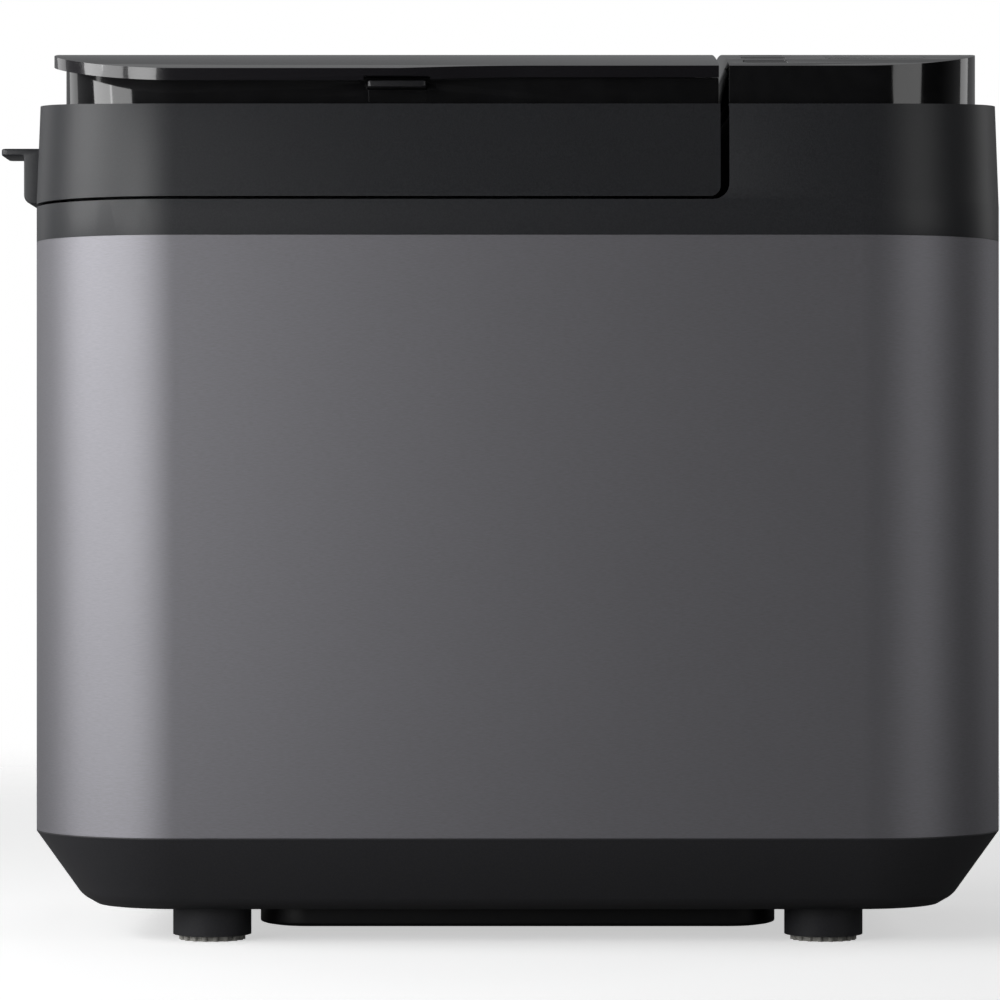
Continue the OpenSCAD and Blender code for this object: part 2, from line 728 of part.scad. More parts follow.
module bread_pan() {
  color("#3d3b3a") at_case() translate([tub_x, 0, 0]) difference() {
    union() {
      lean(pan_w, pan_d, pan_r, pan_z, pan_h, pan_draft, 0);
      block(pan_w + 2 * pan_lip, pan_d + 2 * pan_lip, pan_r + pan_lip, pan_top - rim_h, rim_h);
      translate([0, 0, pan_z - skirt_h]) cylinder(r = skirt_r, h = skirt_h + 1);
      for (s = [-1, 1]) translate([s * (pan_w / 2 + pan_lip - 1.2) - 1.2, -ear_w / 2, pan_top - 1])
        cube([2.4, ear_w, bail_z + 4.5 - pan_top]);
    }
    difference() {
      lean(pan_w - 2 * pan_t, pan_d - 2 * pan_t, pan_r - pan_t, pan_z, pan_h, pan_draft, 0);
      block(pan_w, pan_d, pan_r, pan_z - 1, pan_t + 1);
    }
    block(pan_w - 2 * pan_t, pan_d - 2 * pan_t, pan_r - pan_t, pan_top - 0.01, 20);
    translate([0, 0, pan_z - skirt_h - 1]) cylinder(r = skirt_r - skirt_t, h = skirt_h + 1);
    translate([0, 0, pan_z - 1]) cylinder(r = bush_r, h = pan_t + 2);
    translate([0, 0, bail_z]) rotate([0, 90, 0]) cylinder(r = bail_r + fit, h = 2 * far, center = true);
  }
}

module pan_bail() {
  wire_x = bail_x - 1;
  bend = 10;
  color("#b9bbbe") at_case() translate([tub_x, 0, bail_z]) {
    for (s = [-1, 1]) {
      translate([s * (bail_x - 11), 0, 0]) rotate([0, s * 90, 0]) cylinder(r = bail_r, h = 10);
      translate([s * wire_x, 0, 0]) sphere(r = bail_r);
      translate([s * wire_x, 0, 0]) rotate([90, 0, 0]) cylinder(r = bail_r, h = bail_reach - bend);
      translate([s * (wire_x - bend), -bail_reach + bend, 0]) rotate([0, 0, s > 0 ? -90 : 180])
        rotate_extrude(angle = 90) translate([bend, 0]) circle(r = bail_r, $fn = 32);
    }
    translate([-wire_x + bend, -bail_reach, 0]) rotate([0, 90, 0]) cylinder(r = bail_r, h = 2 * (wire_x - bend));
  }
}

module bail_grip() {
  grip_l = 78;
  color("#1d1d1f") at_case() translate([tub_x, -bail_reach, bail_z]) rotate([0, 90, 0]) difference() {
    cylinder(r = grip_r, h = grip_l, center = true);
    cylinder(r = bail_r, h = 2 * grip_l, center = true);
  }
}

module pan_bush() {
  color("#b08a4a") at_case() translate([tub_x, 0, 0]) difference() {
    union() {
      translate([0, 0, pan_z - 4]) cylinder(r = bush_r, h = 4 + pan_t + 2.5);
      translate([0, 0, pan_z - 2]) cylinder(r = bush_r + 3, h = 2);
    }
    translate([0, 0, pan_z - 8]) cylinder(r = shaft_r + fit, h = 30);
  }
}

module pan_shaft() {
  color("#c3c5c8") at_case() translate([tub_x, 0, 0]) difference() {
    translate([0, 0, wing_z]) cylinder(r = shaft_r, h = pan_shaft_top - wing_z);
    translate([shaft_r - 1.2, -shaft_r, pan_z + 8]) cube([shaft_r, 2 * shaft_r, far]);
  }
}

module pan_coupling() {
  color("#9fa1a4") at_case() translate([tub_x, 0, 0]) difference() {
    union() {
      translate([0, 0, wing_z]) cylinder(r = 16, h = wing_h);
      for (s = [-1, 1]) translate([s * prong_at, s * prong_y, wing_z - prong_h]) cylinder(r = prong_r, h = prong_h + 1);
    }
    translate([0, 0, wing_z - 1]) cylinder(r = shaft_r, h = wing_h + 2);
  }
}

module kneading_paddle() {
  blade_l = 46;
  low = pan_z + pan_t + 3.2;
  color("#35322f") at_case() translate([tub_x, 0, low]) difference() {
    union() {
      cylinder(r1 = paddle_hub, r2 = paddle_hub - 2.5, h = 27);
      rotate([90, 0, 0]) linear_extrude(3, center = true)
        polygon(concat([[0, 0], [blade_l, 0]], arc([blade_l - 12, 22], 12, 0, 90, 12), [[14, 26], [0, 18]]));
    }
    difference() {
      translate([0, 0, -1]) cylinder(r = shaft_r + fit, h = pan_shaft_top - low + 1.3);
      translate([shaft_r - 1.2 + fit, -shaft_r, 4]) cube([shaft_r, 2 * shaft_r, far]);
    }
  }
}

// Lid: moulded shell with the hinge rail, lift tab, riser, liner and seal
rail_y = case_d / 2 - 22;
rail_top = hinge_z + 6;
rail_left = -case_w / 2 + corner_r - 14;
pin_grip = 9;
slot_gap = 0.6;
lid_corner = 4;
lid_boss_r = 3;
lid_boss_in = 6.6;
lid_bosses = [
  [tub_x - 60, -case_d / 2 + lid_boss_in], [tub_x, -case_d / 2 + lid_boss_in], [tub_x + 60, -case_d / 2 + lid_boss_in],
  [tub_x + 120, -case_d / 2 + lid_boss_in],
  [-case_w / 2 + lid_boss_in, tab_y - tab_w / 2 - 8], [-case_w / 2 + lid_boss_in, tab_y + tab_w / 2 + 8]
];
tray_z = crown_z - cover_t - cover_gap - tray_drop;
tray_edge = 7;
tray_floor = 2;
tray_x0 = nut_x - nut_w / 2 - tray_edge;
tray_x1 = yeast_x + yeast_r + tray_edge + 2;
tray_y0 = nut_y - nut_d / 2 - tray_edge;
tray_y1 = nut_y + nut_d / 2 + tray_edge;
cup_rim = 3;
cup_rim_t = 1.2;

module lid_bounds() { intersection() { children(); left_of(lid_right); } }

module lid_shell() {
  swing = ear_r + slot_gap;
  color("#313234") at_case() difference() {
    union() {
      difference() {
        lid_bounds() top_form(lid_z, 0, 0);
        intersection() {
          top_form(lid_z - 1, wall, 0);
          translate([-far, -far, 0]) cube([far + lid_right - wall, 2 * far, shoulder_under]);
        }
        // Round lower corner next to the control housing
        translate([lid_right - lid_corner, far, lid_z + lid_corner]) rotate([90, 0, 0]) linear_extrude(2 * far) difference() {
          translate([0, -lid_corner - 1]) square(lid_corner + 1);
          circle(r = lid_corner);
        }
      }
      intersection() {
        top_form(hinge_z - barrel_r, 0, 0);
        translate([rail_left, rail_y, hinge_z - barrel_r]) cube([lid_right - rail_left, case_d, rail_top - hinge_z + barrel_r]);
      }
      for (p = lid_bosses) translate([p[0], p[1], liner_z + liner_t]) cylinder(r = lid_boss_r, h = shoulder_under - liner_z);
    }
    // Rounding of the rear lower edge about the hinge
    difference() {
      translate([-far, hinge_y, 0]) cube([2 * far, far, hinge_z]);
      lid_axis() cylinder(r = barrel_r, h = 2 * far, center = true);
    }
    translate([-far, rail_y - 1, 0]) cube([2 * far, hinge_y - rail_y + 1, lid_z]);
    for (x = ear_x) translate([x, 0, 0]) {
      lid_axis() cylinder(r = swing, h = ear_t + 2 * slot_gap, center = true);
      translate([-ear_t / 2 - slot_gap, hinge_y - swing, 0]) cube([ear_t + 2 * slot_gap, far, hinge_z]);
      translate([-ear_t / 2 - slot_gap, hinge_y, hinge_z - 1]) cube([ear_t + 2 * slot_gap, far, swing + 1]);
      lid_axis() cylinder(r = lid_pin_r, h = ear_t + 2 * pin_grip, center = true);
    }
    for (p = lid_bosses) translate([p[0], p[1], liner_z]) cylinder(r = screw_r, h = screw_l + 1);
    riser_plug(slip, ledge_z, far);
  }
}

module lid_hinge_pins() {
  color("#c3c5c8") at_case() for (x = ear_x) translate([x, 0, 0])
    lid_axis() cylinder(r = lid_pin_r, h = ear_t + 2 * pin_grip, center = true);
}

module lift_tab() {
  edge = -case_w / 2;
  top = lid_z + 24.8;
  flange = 3;
  step = tab_reach * 0.45;
  round_r = 4;
  lip = 1.2;
  color("#35373a") at_case() difference() {
    translate([0, tab_y, 0]) rotate([90, 0, 0]) linear_extrude(tab_w, center = true) polygon(concat(
      [[edge + 3, lid_z + 1.8], [edge - step + round_r, lid_z + 1.8]],
      arc([edge - step + round_r, lid_z + 1.8 + round_r], round_r, 270, 180, 10),
      [[edge - step, top - flange], [edge - tab_reach + lip, top - flange]],
      arc([edge - tab_reach + lip, top - flange + lip], lip, 270, 180, 5),
      arc([edge - tab_reach + lip, top - lip], lip, 180, 90, 5),
      [[edge + 3, top]]));
    top_form(lid_z, 0, 0);
  }
}

// Plug with the riser's outline, upright from z
module riser_plug(extra, z, h) {
  intersection() {
    block(case_w - 2 * riser_inset + 2 * extra, case_d - 2 * riser_inset + 2 * extra,
      corner_r - riser_inset + extra, z, h);
    left_of(lid_right - 0.2 + extra);
  }
}

// Space under the cover, or under a surface that lies depth below the crown
module below_crown(depth) { under_crown(crown_z - depth, crown_r - depth); }

module lid_riser() {
  top = cover_t + cover_gap;
  color("#141416") at_case() difference() {
    union() {
      difference() {
        union() {
          intersection() { riser_plug(0, ledge_z, far); below_crown(top); }
          intersection() {
            riser_plug(cup_rim, ledge_z, shoulder_under - ledge_z);
            left_of(lid_right - wall - slip);
          }
        }
        intersection() {
          riser_plug(-wall, ledge_z - 1, far);
          below_crown(top + wall);
        }
      }
      translate([tray_x0 - wall, tray_y0 - wall, tray_z - tray_floor])
        cube([tray_x1 - tray_x0 + 2 * wall, tray_y1 - tray_y0 + 2 * wall, tray_floor + 0.4]);
      for (x = cover_ear_x, s = [-1, 1]) translate([x + s * 4.8, 0, 0]) {
        translate([0, cover_hinge_y, cover_hinge_z]) rotate([0, 90, 0]) cylinder(r = cover_ear_r, h = 3, center = true);
        translate([-1.5, case_d / 2 - riser_inset - 1, cover_hinge_z - cover_ear_r])
          cube([3, cover_hinge_y - case_d / 2 + riser_inset + 1, 2 * cover_ear_r]);
      }
    }
    translate([tray_x0, tray_y0, tray_z]) cube([tray_x1 - tray_x0, tray_y1 - tray_y0, far]);
    translate([nut_x, nut_y, 0]) block(nut_w + 2 * slip, nut_d + 2 * slip, 6 + slip, ledge_z, far);
    translate([yeast_x, yeast_y, ledge_z]) cylinder(r = yeast_r + slip, h = far);
    for (x = cover_ear_x) translate([x, cover_hinge_y, cover_hinge_z]) rotate([0, 90, 0])
      cylinder(r = cover_pin_r, h = 16, center = true);
    translate([catch_x - catch_w / 2 - 0.3, -case_d / 2, catch_z - 0.3]) cube([catch_w + 0.6, case_d / 4, catch_h + 0.6]);
  }
}

module lid_liner() {
  lean_in = draft * (liner_z + liner_t - lid_z + 1) / (shoulder_z + shoulder_rise - lid_z + 1);
  inset = wall + lean_in + slip;
  color("#b9bbbd") at_case() difference() {
    intersection() {
      block(case_w - 2 * inset, case_d - 2 * inset, corner_r - inset, liner_z, liner_t);
      translate([-far, -far, 0]) cube([far + lid_right - wall - slip, far + rail_y - slip, far]);
    }
    translate([nut_x - nut_w / 2 - cover_gap, nut_y - nut_d / 2 - cover_gap, liner_z - 1])
      cube([nut_w + 2 * cover_gap, nut_hinge_y + flap_barrel_r + 2 * cover_gap - nut_y + nut_d / 2, liner_t + 2]);
    translate([yeast_x - yeast_flap_w / 2 - cover_gap, yeast_y - yeast_flap_w / 2 - cover_gap, liner_z - 1])
      cube([yeast_flap_w + 2 * cover_gap, yeast_hinge_y + flap_barrel_r + 2 * cover_gap - yeast_y + yeast_flap_w / 2,
        liner_t + 2]);
    for (p = lid_bosses) translate([p[0], p[1], liner_z - 1]) cylinder(r = screw_r, h = liner_t + 2);
    // Steam vents into the lid
    for (i = [0:4]) translate([tub_x + 72 + i * 6, -30, liner_z - 1]) cube([2.4, 26, liner_t + 2]);
  }
}

module lid_seal() {
  color("#4b4c4f") at_case() translate([tub_x, 0, 0]) tube_block(tub_w + 9, tub_d + 9, tub_r + 4.5, 6, liner_z - seal_t, seal_t);
}

// Dispensers: a nut box and a yeast cup, each closed by a flap into the chamber
flap_axis_z = flap_z + flap_barrel_r;
lug_l = 3;

// Bored lugs for a flap's pin, on the wall at y
module flap_lugs(barrel_l, wall_y, hinge) {
  for (s = [-1, 1]) translate([s * (barrel_l / 2 + 0.3 + lug_l / 2), 0, 0]) difference() {
    union() {
      translate([0, hinge, flap_axis_z]) rotate([0, 90, 0]) cylinder(r = flap_barrel_r, h = lug_l, center = true);
      translate([-lug_l / 2, wall_y - 1, box_z]) cube([lug_l, hinge - wall_y + 1, flap_axis_z + flap_barrel_r - box_z]);
    }
    translate([0, hinge, flap_axis_z]) rotate([0, 90, 0]) cylinder(r = flap_pin_r, h = lug_l + 2, center = true);
  }
}

// Flap from its front edge to its hinge barrel
module flap(w, barrel_l, front, hinge) {
  difference() {
    union() {
      translate([-w / 2, front, flap_z]) cube([w, hinge - flap_barrel_r - 0.4 - front, flap_t]);
      translate([-barrel_l / 2, front + 4, flap_z]) cube([barrel_l, hinge - front - 4, flap_t]);
      translate([0, hinge, flap_axis_z]) rotate([0, 90, 0]) cylinder(r = flap_barrel_r, h = barrel_l, center = true);
    }
    translate([0, hinge, flap_axis_z]) rotate([0, 90, 0]) cylinder(r = flap_pin_r + fit, h = barrel_l + 2, center = true);
  }
}

module flap_pin(barrel_l, hinge) {
  translate([0, hinge, flap_axis_z]) rotate([0, 90, 0])
    cylinder(r = flap_pin_r, h = barrel_l + 2 * lug_l + 0.6, center = true);
}

nut_barrel = nut_w / 2;
yeast_barrel = yeast_flap_w / 3;

module nut_box() {
  color("#3a3b3d") at_case() {
    difference() {
      union() {
        translate([nut_x, nut_y, 0]) block(nut_w, nut_d, 6, box_z, tray_z - box_z + 0.2);
        translate([nut_x, nut_y, 0]) block(nut_w + 2 * cup_rim, nut_d + 2 * cup_rim, 6 + cup_rim, tray_z, cup_rim_t);
      }
      translate([nut_x, nut_y, 0]) block(nut_w - 2 * nut_wall, nut_d - 2 * nut_wall, 6 - nut_wall, box_z - 1, far);
    }
    translate([nut_x, 0, 0]) flap_lugs(nut_barrel, nut_y + nut_d / 2, nut_hinge_y);
  }
}

module nut_flap() {
  color("#9b9da0") at_case() translate([nut_x, 0, 0]) flap(nut_w, nut_barrel, nut_y - nut_d / 2, nut_hinge_y);
}

module yeast_cup() {
  throat = yeast_throat + nut_wall;
  knee = box_z + 18;
  color("#3a3b3d") at_case() {
    translate([yeast_x, yeast_y, 0]) rotate_extrude() polygon([
      [yeast_throat, box_z], [throat, box_z], [throat, box_z + 6], [yeast_r, knee], [yeast_r, tray_z],
      [yeast_r + cup_rim, tray_z], [yeast_r + cup_rim, tray_z + cup_rim_t], [yeast_r - nut_wall, tray_z + cup_rim_t],
      [yeast_r - nut_wall, knee + 1], [yeast_throat, box_z + 7]]);
    translate([yeast_x, 0, 0]) flap_lugs(yeast_barrel, yeast_y + yeast_throat, yeast_hinge_y);
  }
}

module yeast_flap() {
  color("#9b9da0") at_case() translate([yeast_x, 0, 0])
    flap(yeast_flap_w, yeast_barrel, yeast_y - yeast_flap_w / 2, yeast_hinge_y);
}

module flap_pins() {
  color("#c3c5c8") at_case() {
    translate([nut_x, 0, 0]) flap_pin(nut_barrel, nut_hinge_y);
    translate([yeast_x, 0, 0]) flap_pin(yeast_barrel, yeast_hinge_y);
  }
}

module flap_solenoids() {
  color("#5c6068") at_case() for (x = [tub_x + 6.5, tub_x + 70]) translate([x, nut_y, liner_z + liner_t]) {
    translate([-6, -14, 0]) cube([12, 28, 15]);
    translate([0, 13, 7.5]) rotate([-90, 0, 0]) cylinder(r = 3, h = 9);
  }
}

// Cover of the dispensers: a crowned plate whose front edge swells towards the left
swell_x0 = tub_x + 47;
swell_x1 = tub_x + 11;
swell_steps = 12;

module cover_outline() {
  left = -case_w / 2 + cover_left;
  front = -case_d / 2 + cover_swell;
  back = case_d / 2 - cover_back;
  r = corner_r - cover_left;
  polygon(concat(
    [[lid_right - 0.2, back], [lid_right - 0.2, -case_d / 2 + cover_front]],
    [for (i = [0:swell_steps]) [swell_x0 + (swell_x1 - swell_x0) * i / swell_steps,
      -case_d / 2 + cover_front + (cover_swell - cover_front) * ease(i / swell_steps)]],
    arc([left + r, front + r], r, 270, 180, 24),
    arc([left + r, back - r], r, 180, 90, 24)));
}

module dispenser_cover() {
  color("#59585c") at_case() difference() {
    union() {
      difference() {
        intersection() {
          translate([0, 0, shoulder_z]) linear_extrude(far) cover_outline();
          below_crown(0);
        }
        below_crown(cover_t);
      }
      intersection() {
        for (x = cover_ear_x) translate([x, 0, 0]) {
          translate([-3, cover_hinge_y - 1.6, cover_hinge_z]) cube([6, 3.2, far]);
          translate([0, cover_hinge_y, cover_hinge_z]) rotate([0, 90, 0]) cylinder(r = cover_ear_r, h = 6, center = true);
        }
        below_crown(1);
      }
    }
    for (x = cover_ear_x) translate([x, cover_hinge_y, cover_hinge_z]) rotate([0, 90, 0])
      cylinder(r = cover_pin_r + fit, h = 8, center = true);
    translate([catch_x - notch_w / 2, -case_d / 2, shoulder_z])
      cube([notch_w, cover_swell + 7, catch_z + catch_h + 2 - shoulder_z]);
  }
}

module cover_hinge_pins() {
  color("#c3c5c8") at_case() for (x = cover_ear_x) translate([x, cover_hinge_y, cover_hinge_z]) rotate([0, 90, 0])
    cylinder(r = cover_pin_r, h = 12.6, center = true);
}

module cover_catch() {
  tip = -case_d / 2 + cover_swell - 0.6;
  color("#8b8a8e") at_case() translate([catch_x, tip, catch_z]) {
    translate([-catch_w / 2, 0, 0]) cube([catch_w, 22, catch_h]);
    translate([-5, 21, 0]) cube([10, 9, catch_h]);
    translate([-catch_w / 2 - 3, 16, 0]) cube([catch_w + 6, 4, catch_h]);
  }
}

// Control panel with its keys, window and board
row_key_y = display_y + display_d / 2 + 14;
key_r = 1.8;
window_edge = 2.5;

module panel_bounds() { intersection() { children(); right_of(panel_left); } }

module key_solid(x, y, w, d) {
  bottom = crown_at(y) - key_deep;
  color("#2a2a2d") at_case() intersection() {
    union() {
      translate([x, y, 0]) block(w, d, key_r, bottom, key_deep + 6);
      translate([x, y, 0]) block(w + 3, d + 3, key_r, bottom, key_deep - panel_t - 2);
    }
    below_crown(0);
  }
}

module key_hole(x, y, w, d) {
  translate([x, y, 0]) block(w + 2 * key_gap, d + 2 * key_gap, key_r + key_gap, shoulder_z, far);
}

module column_key(i) { key_solid(key_x, key_y0 + i * key_pitch, key_w, key_d); }
module row_key(i) { key_solid(row_key_x[i], row_key_y, wide_key_w, key_d + 3); }

module control_panel() {
  color("#151517") at_case() difference() {
    union() {
      panel_bounds() intersection() { panel_plug(0, ledge_z, far); below_crown(0); }
      intersection() {
        panel_plug(cup_rim, ledge_z, shoulder_under - ledge_z);
        right_of(housing_left + wall + slip);
      }
    }
    intersection() {
      panel_plug(-panel_t, ledge_z - 1, far);
      right_of(panel_left + panel_t);
      below_crown(panel_t);
    }
    for (i = [0:column_keys - 1]) key_hole(key_x, key_y0 + i * key_pitch, key_w, key_d);
    for (x = row_key_x) key_hole(x, row_key_y, wide_key_w, key_d + 3);
    translate([display_x, display_y, 0]) block(display_w, display_d, 3, shoulder_z, far);
  }
}

module display_window() {
  color([0.62, 0.68, 0.66, 0.6]) at_case() difference() {
    union() {
      intersection() {
        translate([display_x, display_y, 0]) block(display_w - 2 * slip, display_d - 2 * slip, 3 - slip, shoulder_z, far);
        below_crown(0);
      }
      intersection() {
        translate([display_x, display_y, 0]) block(display_w + window_edge, display_d + window_edge, 4, shoulder_z, far);
        below_crown(panel_t);
      }
    }
    below_crown(panel_t + 1);
  }
}

module control_board() {
  top = board_z + board_t;
  color("#2f5b3a") at_case() {
    intersection() {
      panel_plug(-panel_t - 2, board_z, board_t);
      translate([panel_left + panel_t + 2, -far, 0]) cube([far, far + row_key_y + 14, far]);
    }
    for (i = [0:column_keys - 1]) translate([key_x, key_y0 + i * key_pitch, top])
      cylinder(r = 2, h = crown_at(key_y0 + i * key_pitch) - key_deep - key_travel - 0.3 - top);
    for (x = row_key_x) translate([x, row_key_y, top])
      cylinder(r = 2, h = crown_at(row_key_y) - key_deep - key_travel - 0.3 - top);
    intersection() {
      translate([display_x - display_w / 2 + 1, display_y - display_d / 2 + 1, top])
        cube([display_w - 2, display_d - 2, far]);
      below_crown(panel_t + 2.4);
    }
    intersection() {
      for (x = [key_x, display_x + 8], y = [row_key_y + 10]) translate([x, y, top]) cylinder(r = 2.5, h = far);
      below_crown(panel_t);
    }
  }
}

module menu_up_key() { column_key(0); }
module menu_down_key() { column_key(1); }
module size_key() { column_key(2); }
module crust_key() { column_key(3); }
module timer_key() { column_key(4); }
module start_key() { row_key(0); }
module stop_key() { row_key(1); }

module chassis_screws() {
  color("#c9cbcd") at_case() for (x = boss_x, sy = [-1, 1]) translate([x, sy * boss_y, 0])
    screw(chassis_top, screw_r, screw_l, screw_head, screw_head_h);
}

module lid_screws() {
  color("#c9cbcd") at_case() for (p = lid_bosses) translate([p[0], p[1], liner_z]) rotate([180, 0, 0])
    screw(0, screw_r, screw_l, screw_head, screw_head_h);
}

base_shell();
belly_pan();
foot_posts();
foot_pads();
chassis_plate();
body_wrap();
top_frame();
oven_tub();
tub_legs();
heater();
heater_brackets();
temperature_sensor();
heat_shield();
pan_seat();
bearing_housing();
drive_shaft();
drive_pulley();
drive_coupling();
drive_belt();
motor();
motor_shaft();
motor_pulley();
motor_feet();
run_capacitor();
power_board();
cord_gland();
bread_pan();
pan_bail();
bail_grip();
pan_bush();
pan_shaft();
pan_coupling();
kneading_paddle();
lid_shell();
lift_tab();
lid_riser();
lid_liner();
lid_seal();
lid_hinge_pins();
nut_box();
nut_flap();
yeast_cup();
yeast_flap();
flap_pins();
flap_solenoids();
dispenser_cover();
cover_hinge_pins();
cover_catch();
control_panel();
display_window();
control_board();
start_key();
stop_key();
menu_up_key();
menu_down_key();
size_key();
crust_key();
timer_key();
chassis_screws();
lid_screws();
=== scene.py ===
import logging
import math
from collections.abc import Callable, Iterator
from contextlib import contextmanager
from dataclasses import dataclass, field
from enum import Enum

import bmesh
import bpy
from mathutils import Matrix, Vector


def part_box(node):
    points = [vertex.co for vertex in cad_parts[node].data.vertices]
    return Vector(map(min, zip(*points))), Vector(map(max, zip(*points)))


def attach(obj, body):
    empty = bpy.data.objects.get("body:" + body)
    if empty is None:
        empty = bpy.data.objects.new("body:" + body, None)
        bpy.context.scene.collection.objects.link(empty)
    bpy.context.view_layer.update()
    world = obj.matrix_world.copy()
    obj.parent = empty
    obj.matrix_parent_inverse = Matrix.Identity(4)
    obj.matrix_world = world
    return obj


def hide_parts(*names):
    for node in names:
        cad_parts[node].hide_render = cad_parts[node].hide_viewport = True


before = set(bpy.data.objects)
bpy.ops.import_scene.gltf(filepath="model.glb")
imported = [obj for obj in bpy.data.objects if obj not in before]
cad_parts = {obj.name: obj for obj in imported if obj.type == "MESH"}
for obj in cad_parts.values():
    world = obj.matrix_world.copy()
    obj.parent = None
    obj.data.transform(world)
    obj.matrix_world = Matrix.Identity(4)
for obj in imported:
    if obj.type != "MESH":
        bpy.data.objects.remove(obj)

LOG = logging.getLogger("bread_machine")
MM = 0.001
Point = tuple[float, float, float]
Test = Callable[[Vector, Vector], bool]


# ---------------------------------------------------------------------------------------------------------------
# Modelling by hand: selecting, editing, cutting and finishing one mesh at a time
# ---------------------------------------------------------------------------------------------------------------


class Axis(Enum):
    """The row axis that a round piece lies along, with the turn that lays an upright one there."""

    X = (0.0, math.pi / 2, 0.0)
    Y = (-math.pi / 2, 0.0, 0.0)
    Z = (0.0, 0.0, 0.0)


class Cut(Enum):
    """What a boolean modifier does with its tool."""

    TAKE = "DIFFERENCE"
    KEEP = "INTERSECT"
    ADD = "UNION"


def focus(*pieces: bpy.types.Object) -> None:
    """Selects these pieces alone and makes the first one active.

    Args:
        pieces: The objects to select.
    """
    bpy.ops.object.select_all(action="DESELECT")
    for piece in pieces:
        piece.select_set(True)
    bpy.context.view_layer.objects.active = pieces[0]


@contextmanager
def editing(piece: bpy.types.Object, mode: str = "FACE") -> Iterator[bmesh.types.BMesh]:
    """Edit mode on one piece, with nothing selected at the start.

    Args:
        piece: The mesh object to edit.
        mode: The selection mode, FACE, EDGE or VERT.

    Yields:
        The edit mesh, for choosing faces and edges.
    """
    focus(piece)
    bpy.ops.object.mode_set(mode="EDIT")
    bpy.ops.mesh.select_mode(type=mode)
    bpy.ops.mesh.select_all(action="DESELECT")
    yield bmesh.from_edit_mesh(piece.data)
    bpy.ops.object.mode_set(mode="OBJECT")


def choose_faces(piece: bpy.types.Object, test: Test) -> int:
    """Selects the faces whose centre and normal pass a test, in edit mode.

    Args:
        piece: The object in edit mode.
        test: Called with each face's centre and normal.

    Returns:
        How many faces are selected.
    """
    mesh = bmesh.from_edit_mesh(piece.data)
    chosen = [face for face in mesh.faces if test(face.calc_center_median(), face.normal)]
    for face in chosen:
        face.select_set(True)
    bmesh.update_edit_mesh(piece.data)
    return len(chosen)


def choose_edges(piece: bpy.types.Object, test: Test) -> int:
    """Selects the edges whose middle and direction pass a test, in edit mode.

    Args:
        piece: The object in edit mode.
        test: Called with each edge's middle and its unit direction.

    Returns:
        How many edges are selected.
    """
    mesh = bmesh.from_edit_mesh(piece.data)
    chosen = []
    for edge in mesh.edges:
        a, b = (v.co for v in edge.verts)
        if test((a + b) / 2, (b - a).normalized()):
            chosen.append(edge)
    for edge in chosen:
        edge.select_set(True)
    bmesh.update_edit_mesh(piece.data)
    return len(chosen)


def settle(piece: bpy.types.Object) -> bpy.types.Object:
    """Puts a piece's place into its mesh, so that the object sits at the origin."""
    focus(piece)
    bpy.ops.object.transform_apply(location=True, rotation=True, scale=True)
    return piece


def block(name: str, low: Point, high: Point, corner: float = 0.0, steps: int = 20) -> bpy.types.Object:
    """A block between two corners, with its four upright edges rounded.

    Args:
        name: The piece's name.
        low: The lowest corner, in metres.
        high: The highest corner.
        corner: The radius of the upright edges, or 0 for sharp ones.
        steps: How many facets each rounding has.

    Returns:
        The block, with its place in its mesh.
    """
    a, b = Vector(low), Vector(high)
    bpy.ops.mesh.primitive_cube_add(size=1, location=(a + b) / 2)
    piece = bpy.context.object
    piece.name = piece.data.name = name
    piece.scale = b - a
    settle(piece)
    if corner > 0:
        with editing(piece, "EDGE"):
            choose_edges(piece, lambda middle, way: abs(way.z) > 0.99)
            bpy.ops.mesh.bevel(offset=corner, offset_type="OFFSET", segments=steps, affect="EDGES")
    return piece


def tapered(name: str, low: Point, high: Point, corner: float, lean: float, steps: int = 28) -> bpy.types.Object:
    """A round-cornered block whose walls lean inwards towards the top, as a moulding's draft makes them.

    Args:
        name: The piece's name.
        low: The lowest corner, in metres.
        high: The highest corner, before the lean.
        corner: The radius of the upright edges at the bottom.
        lean: How far the walls come in over the height.
        steps: How many facets each rounding has.

    Returns:
        The block.
    """
    foot = 0.1 * MM
    piece = block(name, low, (high[0], high[1], low[2] + foot), corner, steps)
    with editing(piece):
        choose_faces(piece, lambda centre, normal: normal.z > 0.9)
        bpy.ops.mesh.inset(thickness=lean, depth=high[2] - low[2] - foot, use_even_offset=True)
    return piece


def copied(piece: bpy.types.Object, name: str, shift: Point) -> bpy.types.Object:
    """A copy with its own mesh, moved by a step.

    Args:
        piece: The piece to copy.
        name: The copy's name.
        shift: How far it moves, in metres.

    Returns:
        The copy, with its place in its mesh.
    """
    focus(piece)
    bpy.ops.object.duplicate(linked=False)
    twin = bpy.context.object
    twin.name = twin.data.name = name
    twin.location = shift
    return settle(twin)


def rod(name: str, centre: Point, radius: float, length: float, axis: Axis = Axis.Z, steps: int = 64) -> bpy.types.Object:
    """A round bar about its centre.

    Args:
        name: The piece's name.
        centre: The middle of the bar, in metres.
        radius: Its radius.
        length: Its length along the axis.
        axis: The row axis that it lies along.
        steps: How many facets it has round.

    Returns:
        The bar, with its place in its mesh.
    """
    bpy.ops.mesh.primitive_cylinder_add(
        vertices=steps, radius=radius, depth=length, location=centre, rotation=axis.value
    )
    piece = bpy.context.object
    piece.name = piece.data.name = name
    return settle(piece)


def modify(piece: bpy.types.Object, kind: str, **settings: object) -> bpy.types.Object:
    """Adds one modifier with its settings and applies it.

    Args:
        piece: The object to change.
        kind: The modifier's type, such as BEVEL.
        settings: The modifier's own properties.

    Returns:
        The same object.
    """
    focus(piece)
    modifier = piece.modifiers.new(kind.title(), kind)
    for key, value in settings.items():
        setattr(modifier, key, value)
    bpy.ops.object.modifier_apply(modifier=modifier.name)
    return piece


